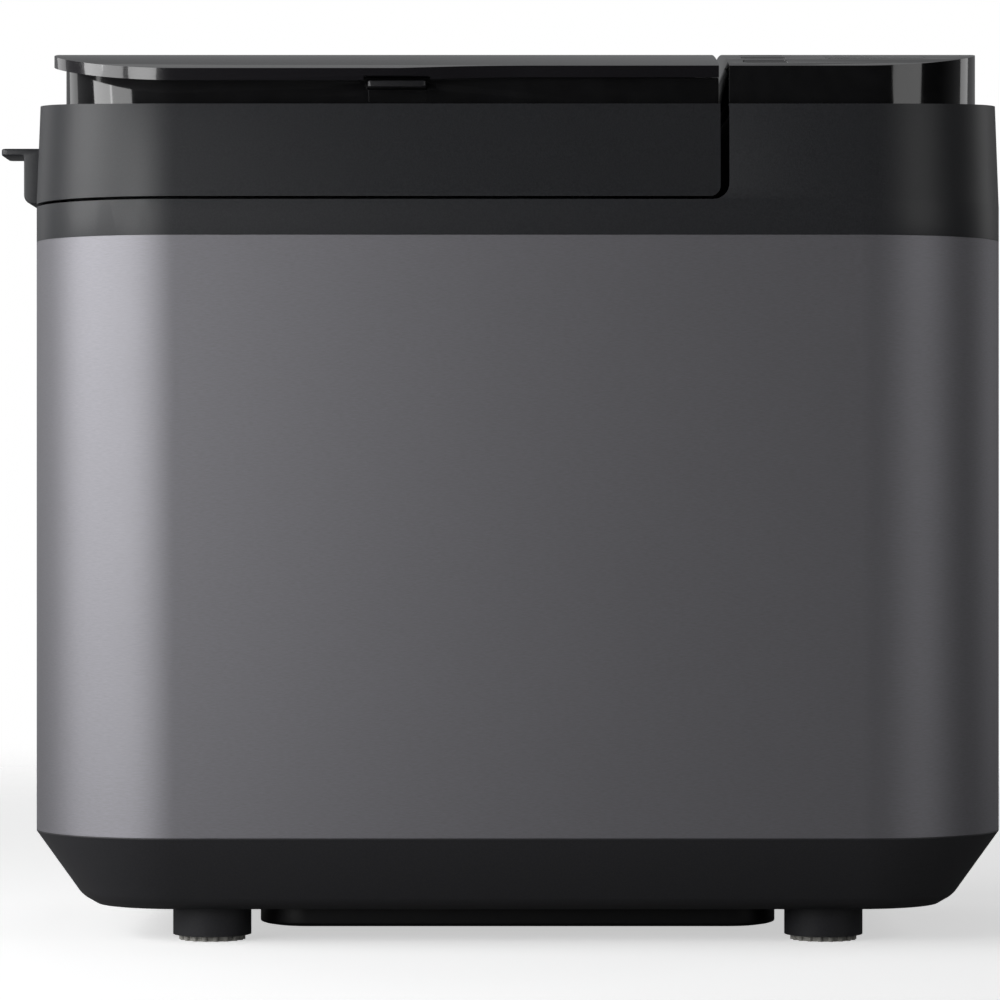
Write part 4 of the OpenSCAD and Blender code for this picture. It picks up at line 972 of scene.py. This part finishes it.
@dataclass
class Lid(Assembly):
    """The lid: moulded shell with its hinge rail, lift tab, glossy riser, liner and seal.

    Args:
        body: The body that the pieces ride on.
        form: The shared heights and outlines.
        barrel: The radius of the rear edge about the hinge.
        ear: The radius of the frame's ears, which the lid's slots clear.
    """

    form: Form
    barrel: float = 10 * MM
    ear: float = 5.5 * MM

    def build(self) -> None:
        """Builds every piece of the lid."""
        self.shell()
        self.lift_tab()
        self.riser()
        self.finished_copy("lid_liner", "liner_sheet", 0.25 * MM)
        self.finished_copy("lid_seal", "black_rubber", 1.2 * MM)
        for node in ("lid_hinge_pins", "flap_pins", "cover_hinge_pins", "lid_screws"):
            self.finished_copy(node, "polished_steel", 0.15 * MM)
        self.finished_copy("nut_box", "dispenser_plastic", 0.4 * MM)
        self.finished_copy("yeast_cup", "dispenser_plastic", 0.4 * MM)
        self.finished_copy("flap_solenoids", "motor_steel", 0.6 * MM)
        self.finished_copy("nut_flap", "liner_sheet", 0.25 * MM, "nut_door")
        self.finished_copy("yeast_flap", "liner_sheet", 0.25 * MM, "yeast_door")

    def shell(self) -> None:
        """The matte shell: leaning walls under a crowned shoulder, with the hinge rail behind."""
        form = self.form
        wall, right = form.wall, form.lid_right
        piece = form.moulding("lid_moulding", form.lid_low)
        end = block("end", (-1, -1, form.lid_low), (right, 1, 1))
        with editing(end, "EDGE"):
            choose_edges(end, lambda middle, way: abs(way.y) > 0.9 and middle.x > 0 and middle.z < form.lid_low + MM)
            bpy.ops.mesh.bevel(offset=4 * MM, segments=10, affect="EDGES")
        work(piece, Cut.KEEP, end)
        hollow = form.moulding("hollow", form.lid_low - MM, wall)
        work(hollow, Cut.KEEP, block("room", (-1, -1, 0), (right - wall, 1, form.under)))
        work(piece, Cut.TAKE, hollow)
        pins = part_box("lid_hinge_pins")
        y, z = (pins[0].y + pins[1].y) / 2, (pins[0].z + pins[1].z) / 2
        rail = form.outline("rail", 0, z - self.barrel, z + 6 * MM)
        work(rail, Cut.KEEP, block("rail_part", (form.low.x + 46 * MM, 96 * MM, 0), (right, 1, 1)))
        work(rail, Cut.TAKE, block("under_rail", (-1, 0, 0), (1, y, form.lid_low)))
        merge(work(piece, Cut.ADD, rail))
        rear = block("rear", (-1, y, 0), (1, 1, z))
        work(piece, Cut.TAKE, work(rear, Cut.TAKE, rod("barrel", (0, y, z), self.barrel + 0.03 * MM, 3, Axis.X, 128)))
        swing, thick, gap, grip = self.ear + 0.6 * MM, 5 * MM, 0.6 * MM, 9 * MM
        for x in (pins[0].x + grip + thick / 2, pins[1].x - grip - thick / 2):
            half = thick / 2 + gap
            slot = block("slot", (x - half, y - swing, 0), (x + half, 1, z))
            work(slot, Cut.ADD, rod("swing", (x, y, z), swing, 2 * half, Axis.X, 64))
            work(slot, Cut.ADD, block("way", (x - half, y, z - MM), (x + half, 1, z + swing)))
            work(piece, Cut.TAKE, slot, rod("pin_bore", (x, y, z), 3 * MM, thick + 2 * grip, Axis.X, 48))
        opening = form.outline("opening", form.riser - form.slip, form.ledge, 0.5)
        work(piece, Cut.TAKE, work(opening, Cut.TAKE, side(right - 0.05 * MM, True)))
        soften(piece, 0.7 * MM, 3, 34)
        self.place(piece, "matte_cover", "lid_shell")

    def lift_tab(self) -> None:
        """The lift tab: a flat lip over a hollow for the fingertips, on the lid's left wall."""
        low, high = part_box("lift_tab")
        flange, step, round_ = 3 * MM, 7.65 * MM, 4 * MM
        wall = self.form.low.x
        piece = block("lift_tab_moulding", (low.x, low.y, high.z - flange), (wall + 3 * MM, high.y, high.z), 0)
        foot = block("foot", (wall - step, low.y, low.z), (wall + 3 * MM, high.y, high.z - flange / 2))
        with editing(foot, "EDGE"):
            choose_edges(foot, lambda middle, way: abs(way.y) > 0.9 and middle.z < low.z + MM and middle.x < wall - MM)
            bpy.ops.mesh.bevel(offset=round_, segments=10, affect="EDGES")
        work(piece, Cut.ADD, foot)
        with editing(piece, "EDGE"):
            choose_edges(piece, lambda middle, way: abs(way.z) > 0.9 and middle.x < low.x + MM)
            bpy.ops.mesh.bevel(offset=2.5 * MM, segments=6, affect="EDGES")
        work(piece, Cut.TAKE, self.form.moulding("lid_wall", self.form.lid_low))
        soften(piece, 0.8 * MM, 4, 34)
        self.place(piece, "matte_cover", "lift_tab")

    def riser(self) -> None:
        """The glossy riser: an upright wall under a crowned deck, sunk for the mouths of the dispensers."""
        form = self.form
        top = form.apex - form.cover - 0.6 * MM
        radius = form.crown - form.cover - 0.6 * MM
        piece = form.outline("riser", form.riser, form.ledge, 0.4, 32)
        work(piece, Cut.KEEP, crest("riser_top", top, radius))
        flange = form.outline("flange", form.riser - 3 * MM, form.ledge, form.under)
        work(piece, Cut.ADD, work(flange, Cut.TAKE, side(form.lid_right - form.wall - form.slip, True)))
        work(piece, Cut.TAKE, side(form.lid_right - 0.2 * MM, True))
        hollow = form.outline("hollow", form.riser + form.wall, form.ledge - MM, 0.4)
        work(hollow, Cut.KEEP, crest("hollow_top", top - form.wall, radius - form.wall))
        work(piece, Cut.TAKE, work(hollow, Cut.TAKE, side(form.lid_right - 0.2 * MM - form.wall, True)))
        nut_low, nut_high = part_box("nut_box")
        cup_low, cup_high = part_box("yeast_cup")
        tray = nut_high.z - 1.2 * MM
        edge, lap, sheet = 7 * MM, 3 * MM, 2 * MM
        left, back = nut_low.x + lap - edge, nut_low.y + lap
        right = cup_high.x - lap + edge + 2 * MM
        front, rear = back - edge, back + 56 * MM + edge
        work(piece, Cut.ADD, block(
            "tray_floor", (left - form.wall, front - form.wall, tray - sheet), (right + form.wall, rear + form.wall, tray + 0.4 * MM)
        ))
        work(piece, Cut.TAKE, block("tray", (left, front, tray), (right, rear, 0.5), 5 * MM, 8))
        work(piece, Cut.TAKE, block(
            "nut_mouth", (nut_low.x + lap - form.slip, back - form.slip, form.ledge),
            (nut_high.x - lap + form.slip, back + 56 * MM + form.slip, 0.5), 6 * MM, 8,
        ))
        cup = (cup_low + cup_high) / 2
        radius = (cup_high.x - cup_low.x) / 2 - lap + form.slip
        work(piece, Cut.TAKE, rod("yeast_mouth", (cup.x, cup_low.y + (cup_high.x - cup_low.x) / 2, tray), radius, 0.1, steps=96))
        catch_low, catch_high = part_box("cover_catch")
        middle, half, play = (catch_low.x + catch_high.x) / 2, 11.5 * MM, 0.3 * MM
        work(piece, Cut.TAKE, block(
            "catch_slot", (middle - half - play, form.low.y, catch_low.z - play),
            (middle + half + play, form.low.y + 40 * MM, catch_high.z + play),
        ))
        self.cover_ears(piece)
        soften(piece, 0.4 * MM, 2, 34)
        self.place(piece, "gloss_black", "lid_riser")

    def cover_ears(self, piece: bpy.types.Object) -> None:
        """Joins two pairs of bored lugs for the dispenser cover's pins behind the riser.

        Args:
            piece: The riser.
        """
        low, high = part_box("cover_hinge_pins")
        y, z = (low.y + high.y) / 2, (low.z + high.z) / 2
        wall, radius, reach = self.form.high.y - self.form.riser, 2.2 * MM, 4.8 * MM
        first = low.x + 6.3 * MM - reach
        lug = block("lug", (first - 1.5 * MM, wall - MM, z - radius), (first + 1.5 * MM, y, z + radius))
        work(lug, Cut.ADD, rod("lug_eye", (first, y, z), radius, 3 * MM, Axis.X, 48))
        far_pair = high.x - low.x - 12.6 * MM
        others = [copied(lug, "lug", (x, 0, 0)) for x in (2 * reach, far_pair, far_pair + 2 * reach)]
        work(piece, Cut.ADD, lug, *others)
        work(piece, Cut.TAKE, rod("pin_way", ((low.x + high.x) / 2, y, z), 1.1 * MM, 0.2, Axis.X, 32))


@dataclass
class Cover(Assembly):
    """The glossy cover over the dispensers and its catch.

    Args:
        body: The body that the cover rides on.
        form: The shared heights and outlines.
        left: How far its left end stands in from the case.
        swell: How far the fuller part of its front edge stands in.
        front: How far the rest of its front edge stands in.
    """

    form: Form
    left: float = 7.6 * MM
    swell: float = 3 * MM
    front: float = 9.6 * MM

    def build(self) -> None:
        """Builds the cover and its catch."""
        self.plate()
        self.catch()

    def plate(self) -> None:
        """The crowned plate, whose front edge swells out towards the left, with knuckles behind."""
        form = self.form
        low, high = form.low, form.high
        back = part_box("cover_hinge_pins")[1].y - 1.1 * MM + 1.6 * MM
        piece = block(
            "cover_plate", (low.x + self.left, low.y + self.swell, form.ledge), (form.lid_right - 0.2 * MM, back, 0.4), 0
        )
        with editing(piece, "EDGE"):
            choose_edges(piece, lambda middle, way: abs(way.z) > 0.9 and middle.x < 0)
            bpy.ops.mesh.bevel(offset=form.corner - self.left, segments=36, affect="EDGES")
        bend, straight = form.bay + 11 * MM, form.bay + 47 * MM
        shave = block("shave", (bend, low.y - 0.05, 0.2), (0.2, low.y + self.front, 0.5))
        with editing(shave):
            bpy.ops.mesh.select_all(action="SELECT")
            bpy.ops.mesh.bisect(plane_co=(straight, 0, 0), plane_no=(1, 0, 0))
        with editing(shave, "EDGE"):
            choose_edges(shave, lambda m, way: abs(way.z) > 0.9 and m.x < bend + MM and m.y > low.y)
            bpy.ops.transform.translate(value=(0, self.swell - self.front, 0))
        with editing(shave, "EDGE"):
            choose_edges(shave, lambda m, way: abs(way.z) > 0.9 and abs(m.x - straight) < MM and m.y > low.y)
            bpy.ops.mesh.bevel(offset=16 * MM, segments=14, affect="EDGES")
        work(piece, Cut.TAKE, shave)
        with editing(piece, "EDGE"):
            choose_edges(piece, lambda m, way: abs(way.z) > 0.9 and abs(m.x - bend) < MM and m.y < 0)
            bpy.ops.mesh.bevel(offset=16 * MM, segments=14, affect="EDGES")
        work(piece, Cut.KEEP, crest("crown", form.apex, form.crown, steps=720))
        work(piece, Cut.TAKE, crest("under_crown", form.apex - form.cover, form.crown - form.cover, steps=720))
        catch_low, catch_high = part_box("cover_catch")
        middle, half = (catch_low.x + catch_high.x) / 2, 13.2 * MM
        notch_top = catch_high.z + 2 * MM
        work(piece, Cut.TAKE, block("notch", (middle - half, low.y, form.ledge), (middle + half, low.y + 10 * MM, notch_top)))
        self.knuckles(piece)
        soften(piece, 0.7 * MM, 4, 30)
        self.place(piece, "gloss_cover", "dispenser_cover")

    def knuckles(self, piece: bpy.types.Object) -> None:
        """Joins two bored knuckles under the plate's rear edge.

        Args:
            piece: The plate.
        """
        low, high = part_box("cover_hinge_pins")
        y, z = (low.y + high.y) / 2, (low.z + high.z) / 2
        x, half = low.x + 6.3 * MM, 3 * MM
        top = self.form.crown_at(y) - 1.5 * MM
        knuckle = block("knuckle", (x - half, y - 1.6 * MM, z), (x + half, y + 1.6 * MM, top))
        work(knuckle, Cut.ADD, rod("knuckle_eye", (x, y, z), 2.2 * MM, 2 * half, Axis.X, 48))
        twin = copied(knuckle, "knuckle", (high.x - low.x - 12.6 * MM, 0, 0))
        work(piece, Cut.ADD, knuckle, twin)
        work(piece, Cut.TAKE, rod("pin_way", ((low.x + high.x) / 2, y, z), 1.15 * MM, 0.3, Axis.X, 32))

    def catch(self) -> None:
        """The push catch in the notch: a flat tongue with stops and a stem behind."""
        low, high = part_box("cover_catch")
        middle, half = (low.x + high.x) / 2, 11.5 * MM
        piece = block("catch_tongue", (middle - half, low.y, low.z), (middle + half, low.y + 22 * MM, high.z), 1.2 * MM, 5)
        work(piece, Cut.ADD, block("stops", (low.x, low.y + 16 * MM, low.z), (high.x, low.y + 20 * MM, high.z)))
        work(piece, Cut.ADD, block("stem", (middle - 5 * MM, low.y + 21 * MM, low.z), (middle + 5 * MM, high.y, high.z)))
        soften(piece, 0.35 * MM, 3, 34)
        self.place(piece, "catch_plastic", "cover_catch", body="catch")


@dataclass
class Panel(Assembly):
    """The control panel with its keys, display window and board.

    Args:
        body: The body that the panel rides on.
        form: The shared heights and outlines.
        sheet: The panel's thickness.
        gap: The gap round a key.
        corner: The radius of a key's corners.
        deep: The depth of a key.
    """

    form: Form
    sheet: float = 2.2 * MM
    gap: float = 0.35 * MM
    corner: float = 1.8 * MM
    deep: float = 7 * MM

    KEYS = ("start", "stop", "menu_up", "menu_down", "size", "crust", "timer")

    def build(self) -> None:
        """Builds the panel and everything in it."""
        self.panel()
        for key in self.KEYS:
            self.key(key)
        self.window()
        self.finished_copy("control_board", "circuit_board", 0.2 * MM)

    def key_box(self, key: str) -> tuple[Vector, Vector]:
        """The plan of a key's cap: its node's box without the skirt under the panel."""
        low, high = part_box(key + "_key")
        skirt = Vector((1.5 * MM, 1.5 * MM, 0))
        return low + skirt, high - skirt

    def window_box(self) -> tuple[Vector, Vector]:
        """The plan of the window's opening: the pane's box without the edge that laps under the panel."""
        low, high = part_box("display_window")
        lap = Vector((1.25 * MM, 1.25 * MM, 0))
        return low + lap, high - lap

    def panel(self) -> None:
        """The glossy crowned panel, with openings for keys and window."""
        form = self.form
        left = form.housing + 0.3 * MM
        piece = form.outline("panel", form.panel, form.ledge, 0.4, 32)
        work(piece, Cut.TAKE, side(left, False))
        work(piece, Cut.KEEP, crest("panel_top", form.apex, form.crown, steps=720))
        flange = form.outline("panel_flange", form.panel - 3 * MM, form.ledge, form.under)
        work(piece, Cut.ADD, work(flange, Cut.TAKE, side(form.housing + form.wall + form.slip, False)))
        hollow = form.outline("hollow", form.panel + self.sheet, form.ledge - MM, 0.4)
        work(hollow, Cut.KEEP, crest("hollow_top", form.apex - self.sheet, form.crown - self.sheet))
        work(piece, Cut.TAKE, work(hollow, Cut.TAKE, side(left + self.sheet, False)))
        for key in self.KEYS:
            low, high = self.key_box(key)
            work(piece, Cut.TAKE, block(
                "key_hole", (low.x - self.gap, low.y - self.gap, 0.3), (high.x + self.gap, high.y + self.gap, 0.5),
                self.corner + self.gap, 8,
            ))
        low, high = self.window_box()
        work(piece, Cut.TAKE, block("window_hole", (low.x, low.y, 0.3), (high.x, high.y, 0.5), 3 * MM, 8))
        soften(piece, 0.4 * MM, 3, 30)
        self.place(piece, "gloss_black", "control_panel")

    def key(self, key: str) -> None:
        """One key: a cap that follows the crown, softly rounded, over a wider skirt.

        Args:
            key: The key's name, as in its node.
        """
        low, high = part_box(key + "_key")
        cap_low, cap_high = self.key_box(key)
        piece = block(key + "_cap", (cap_low.x, cap_low.y, low.z), (cap_high.x, cap_high.y, 0.4), self.corner, 8)
        skirt = self.deep - self.sheet - 2 * MM
        work(piece, Cut.ADD, block(
            "skirt", (low.x, low.y, low.z), (high.x, high.y, low.z + skirt), self.corner, 8
        ))
        work(piece, Cut.KEEP, crest("key_top", self.form.apex, self.form.crown))
        soften(piece, 0.45 * MM, 4, 30)
        self.place(piece, "key_plastic", key + "_key", body=key + "_button")

    def window(self) -> None:
        """The clear pane, flush with the panel and lapped under its edge."""
        form = self.form
        low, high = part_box("display_window")
        inner_low, inner_high = self.window_box()
        slip = Vector((form.slip, form.slip, 0))
        piece = block("pane", tuple(inner_low + slip), (*(inner_high - slip).xy, 0.4), 2.85 * MM, 8)
        work(piece, Cut.KEEP, crest("pane_top", form.apex, form.crown, steps=720))
        lap = block("lap", tuple(low), (high.x, high.y, 0.4), 4 * MM, 8)
        work(piece, Cut.ADD, work(lap, Cut.KEEP, crest("lap_top", form.apex - self.sheet, form.crown - self.sheet)))
        under = self.sheet + MM
        work(piece, Cut.TAKE, crest("pane_under", form.apex - under, form.crown - under))
        soften(piece, 0.3 * MM, 3, 30)
        self.place(piece, "window", "display_window")


@dataclass
class Oven(Assembly):
    """The baking chamber: tub, heater, sensor, seat and shield.

    Args:
        body: The body that the pieces ride on.
    """

    def build(self) -> None:
        """Builds the chamber's pieces."""
        self.finished_copy("oven_tub", "oven_sheet", 0.3 * MM)
        self.finished_copy("pan_seat", "oven_sheet", 0.6 * MM)
        self.finished_copy("heater", "heater_tube", 0.3 * MM)
        self.finished_copy("heater_brackets", "zinc_sheet", 0.3 * MM)
        self.finished_copy("tub_legs", "zinc_sheet", 0.4 * MM)
        self.finished_copy("heat_shield", "zinc_sheet", 0.15 * MM)
        self.finished_copy("temperature_sensor", "polished_steel", 0.5 * MM, "sensor")


@dataclass
class Drive(Assembly):
    """The belt drive, the motor and the electrics beside it.

    Args:
        body: The body that the still pieces ride on.
    """

    def build(self) -> None:
        """Builds the drive's pieces."""
        self.finished_copy("bearing_housing", "die_cast", 0.6 * MM)
        self.finished_copy("drive_shaft", "polished_steel", 0.4 * MM, "drive")
        self.finished_copy("drive_pulley", "pulley_nylon", 0.4 * MM, "drive")
        self.finished_copy("drive_coupling", "die_cast", 0.5 * MM, "drive")
        self.finished_copy("drive_belt", "belt_rubber", 0.3 * MM)
        self.finished_copy("motor", "motor_steel", 0.8 * MM)
        self.finished_copy("motor_shaft", "polished_steel", 0.3 * MM, "rotor")
        self.finished_copy("motor_pulley", "motor_steel", 0.3 * MM, "rotor")
        self.finished_copy("motor_feet", "black_rubber", 0.5 * MM)
        self.finished_copy("run_capacitor", "capacitor_shell", 0.2 * MM)
        self.finished_copy("power_board", "circuit_board", 0.2 * MM)


@dataclass
class Pan(Assembly):
    """The bread pan with its bail, grip, bush, shaft and kneading paddle.

    Args:
        body: The body that the pan rides on.
        wall: The thickness of the pan's wall.
        lip: How far the rim stands out.
        draft: How far the walls lean in towards the bottom.
        corner: The radius of the pan's corners at the rim.
    """

    wall: float = 1.8 * MM
    lip: float = 3.6 * MM
    draft: float = 8 * MM
    corner: float = 24 * MM

    def build(self) -> None:
        """Builds the pan's pieces."""
        self.pan()
        self.finished_copy("pan_bail", "polished_steel", 0.3 * MM, "bail")
        self.finished_copy("bail_grip", "grip_plastic", 1.2 * MM, "bail")
        self.finished_copy("pan_bush", "bronze_bush", 0.3 * MM)
        self.finished_copy("pan_shaft", "polished_steel", 0.4 * MM, "paddle")
        self.finished_copy("pan_coupling", "die_cast", 0.5 * MM, "paddle")
        self.finished_copy("kneading_paddle", "nonstick", 1.0 * MM, "paddle")

    def pan(self) -> None:
        """The drawn pan: leaning walls with a rounded foot, a rolled rim, a skirt and two eyes for the bail."""
        low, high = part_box("bread_pan")
        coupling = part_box("pan_coupling")
        x = (low.x + high.x) / 2
        half = (high.y - low.y) / 2 - self.lip
        wide = 93 * MM
        floor, rim = low.z + 16 * MM, low.z + 136 * MM
        del coupling
        foot = 0.1 * MM
        piece = block("pan", (x - wide, -half, rim - foot), (x + wide, half, rim), self.corner, 16)
        with editing(piece):
            choose_faces(piece, lambda centre, normal: normal.z < -0.9)
            bpy.ops.mesh.inset(thickness=self.draft, depth=rim - foot - floor, use_even_offset=True)
        with editing(piece, "EDGE"):
            choose_edges(piece, lambda m, way: abs(way.z) < 0.1 and m.z < floor + MM)
            bpy.ops.mesh.bevel(offset=6 * MM, segments=6, affect="EDGES")
        with editing(piece):
            choose_faces(piece, lambda centre, normal: normal.z > 0.9)
            bpy.ops.mesh.inset(thickness=self.wall, depth=0, use_even_offset=True)
            depth = rim - floor - self.wall
            bpy.ops.mesh.inset(thickness=self.draft * depth / (rim - floor), depth=-depth, use_even_offset=True)
        with editing(piece, "EDGE"):
            choose_edges(piece, lambda m, way: abs(way.z) < 0.1 and abs(m.z - floor - self.wall) < 0.3 * MM)
            bpy.ops.mesh.bevel(offset=4.5 * MM, segments=6, affect="EDGES")
        roll = block("roll", (x - wide - self.lip, -half - self.lip, rim - 3 * MM), (x + wide + self.lip, half + self.lip, rim), self.corner + self.lip, 16)
        with editing(roll, "EDGE"):
            choose_edges(roll, lambda m, way: abs(way.z) < 0.1)
            bpy.ops.mesh.bevel(offset=1.3 * MM, segments=5, affect="EDGES")
        inner = self.wall / 2
        work(roll, Cut.TAKE, block("mouth", (x - wide + inner, -half + inner, 0), (x + wide - inner, half - inner, 1), self.corner - inner, 16))
        skirt = rod("skirt", (x, 0, low.z + 8.5 * MM), 36 * MM, 17 * MM, steps=128)
        work(skirt, Cut.TAKE, rod("skirt_room", (x, 0, low.z + 7 * MM), 33 * MM, 18 * MM, steps=128))
        eye_out = wide + self.lip
        eye = block("eye", (x + eye_out - 2.4 * MM, -6 * MM, rim - MM), (x + eye_out, 6 * MM, high.z))
        with editing(eye, "EDGE"):
            choose_edges(eye, lambda m, way: abs(way.x) > 0.9 and m.z > rim + MM)
            bpy.ops.mesh.bevel(offset=4 * MM, segments=8, affect="EDGES")
        twin = copied(eye, "eye", (-2 * eye_out + 2.4 * MM, 0, 0))
        work(piece, Cut.ADD, roll, skirt, eye, twin)
        work(piece, Cut.TAKE, rod("bail_way", (x, 0, rim + 5 * MM), 2.05 * MM, 0.4, Axis.X, 48))
        work(piece, Cut.TAKE, rod("bush_hole", (x, 0, floor), 6.2 * MM, 6 * MM, steps=64))
        soften(piece, 0.35 * MM, 2, 34)
        self.place(piece, "nonstick", "bread_pan")


# ---------------------------------------------------------------------------------------------------------------
# Studio: floor, lights and camera
# ---------------------------------------------------------------------------------------------------------------


@dataclass
class Studio:
    """A pale floor that fades into a pale surround, soft lights and the camera.

    Args:
        eye: The camera's place.
        lens: Its focal length on a 36 mm wide sensor.
        surround: How bright the pale surround is to the eye.
        dome: How much light the surround sheds from behind.
    """

    eye: Point = (0.0013, -1.908, 0.1774)
    lens: float = 163.6
    surround: float = 1.0
    dome: float = 0.16
    glow: float = 0.55
    bounce: float = 0.25
    floor_radius: float = 1.5

    def build(self) -> None:
        """Sets up the whole studio."""
        self.world()
        self.floor()
        self.lights()
        self.camera()
        bpy.context.scene.view_settings.view_transform = "Standard"

    def world(self) -> None:
        """A surround that looks pale and sheds a weaker light, most of it from behind."""
        world = bpy.data.worlds.new("surround")
        bpy.context.scene.world = world
        world.use_nodes = True
        tree = world.node_tree
        tree.nodes.clear()
        path = add(tree, "LightPath")
        seen = add(tree, "Background", {"Color": (1, 1, 1, 1), "Strength": self.surround})
        way = add(tree, "TexCoord")
        behind = add(tree, "VectorMath", {"operation": "DOT_PRODUCT", 1: (0, 1, 0)}, {0: way.outputs["Generated"]})
        level = add(
            tree, "MapRange",
            {"From Min": -0.1, "From Max": 0.75, "To Min": 0.0, "To Max": self.dome, "interpolation_type": "SMOOTHSTEP"},
            {"Value": behind.outputs["Value"]},
        )
        shed = add(tree, "Background", {"Color": (0.97, 0.98, 1, 1)}, {"Strength": level.outputs[0]})
        mix = add(tree, "MixShader", links={0: path.outputs["Is Camera Ray"], 1: shed.outputs[0], 2: seen.outputs[0]})
        add(tree, "OutputWorld", links={"Surface": mix.outputs[0]})

    def floor(self) -> None:
        """A round pale floor that fades out towards its edge."""
        bpy.ops.mesh.primitive_circle_add(vertices=128, radius=self.floor_radius, fill_type="NGON")
        floor = bpy.context.object
        floor.name = "floor"
        made = bpy.data.materials.new("pale_floor")
        made.use_nodes = True
        tree = made.node_tree
        tree.nodes.clear()
        place = add(tree, "TexCoord")
        reach = add(tree, "VectorMath", {"operation": "LENGTH"}, {0: place.outputs["Object"]})
        fade = add(
            tree, "MapRange", {"From Min": 0.5, "From Max": self.floor_radius * 0.98, "interpolation_type": "SMOOTHSTEP"},
            {"Value": reach.outputs["Value"]},
        )
        path = add(tree, "LightPath")
        matt = add(tree, "BsdfDiffuse", {"Color": (0.93, 0.93, 0.93, 1)})
        glow = add(tree, "Emission", {"Strength": self.glow})
        seen = add(tree, "AddShader", links={0: matt.outputs[0], 1: glow.outputs[0]})
        shed = add(tree, "BsdfDiffuse", {"Color": (self.bounce, self.bounce, self.bounce, 1)})
        pale = add(tree, "MixShader", links={0: path.outputs["Is Camera Ray"], 1: shed.outputs[0], 2: seen.outputs[0]})
        clear = add(tree, "BsdfTransparent")
        mix = add(tree, "MixShader", links={0: fade.outputs[0], 1: pale.outputs[0], 2: clear.outputs[0]})
        add(tree, "OutputMaterial", links={"Surface": mix.outputs[0]})
        floor.data.materials.append(made)

    def lights(self) -> None:
        """Tall soft lights to the left, a nearer fill, two dim ones to the right and one above and behind."""
        self.area("key_left", (-1.32, -0.7, 0.6), (0, 0, 0.2), (0.55, 1.1), 5.9)
        self.area("rim_left", (-1.49, -0.21, 0.6), (0, 0, 0.2), (0.55, 1.1), 8.2)
        self.area("behind_left", (-1.15, 0.96, 0.6), (0, 0, 0.2), (0.55, 1.1), 1.3)
        self.area("fill_left", (-0.62, -0.85, 0.32), (-0.15, -0.1, 0.2), (0.4, 0.7), 3.75)
        self.area("fill_right", (1.45, -1.15, 0.6), (0, 0, 0.2), (0.8, 1.3), 4.6)
        self.area("rim_right", (1.3, 0.75, 0.6), (0, 0, 0.2), (0.4, 1.1), 1.3)
        self.area("behind_top", (0, 1.6, 1.7), (0, 0, 0.3), (1.8, 0.8), 0.6)

    def area(self, name: str, at: Point, aim: Point, size: tuple[float, float], power: float) -> None:
        """Adds one rectangular light.

        Args:
            name: The light's name.
            at: Its place.
            aim: The point that it faces.
            size: Its width and height.
            power: Its power in watts.
        """
        data = bpy.data.lights.new(name, "AREA")
        data.shape, data.size, data.size_y, data.energy = "RECTANGLE", size[0], size[1], power
        light = bpy.data.objects.new(name, data)
        light.location = at
        light.rotation_euler = (Vector(aim) - Vector(at)).to_track_quat("-Z", "Y").to_euler()
        bpy.context.scene.collection.objects.link(light)

    def camera(self) -> None:
        """A level camera that faces the front squarely."""
        data = bpy.data.cameras.new("camera")
        data.lens, data.sensor_width = self.lens, 36.0
        data.clip_start, data.clip_end = 0.05, 50
        camera = bpy.data.objects.new("camera", data)
        camera.location = self.eye
        camera.rotation_euler = (math.pi / 2, 0, 0)
        bpy.context.scene.collection.objects.link(camera)
        bpy.context.scene.camera = camera


def main() -> None:
    """Builds the machine and its studio."""
    logging.basicConfig(level=logging.INFO, format="%(name)s %(message)s")
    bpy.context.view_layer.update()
    form = Form()
    Studio().build()
    Case("case", form).build()
    Lid("lid", form).build()
    Cover("cover", form).build()
    Panel("case", form).build()
    Oven("case").build()
    Drive("case").build()
    Pan("pan").build()


if __name__ == "__main__":
    main()
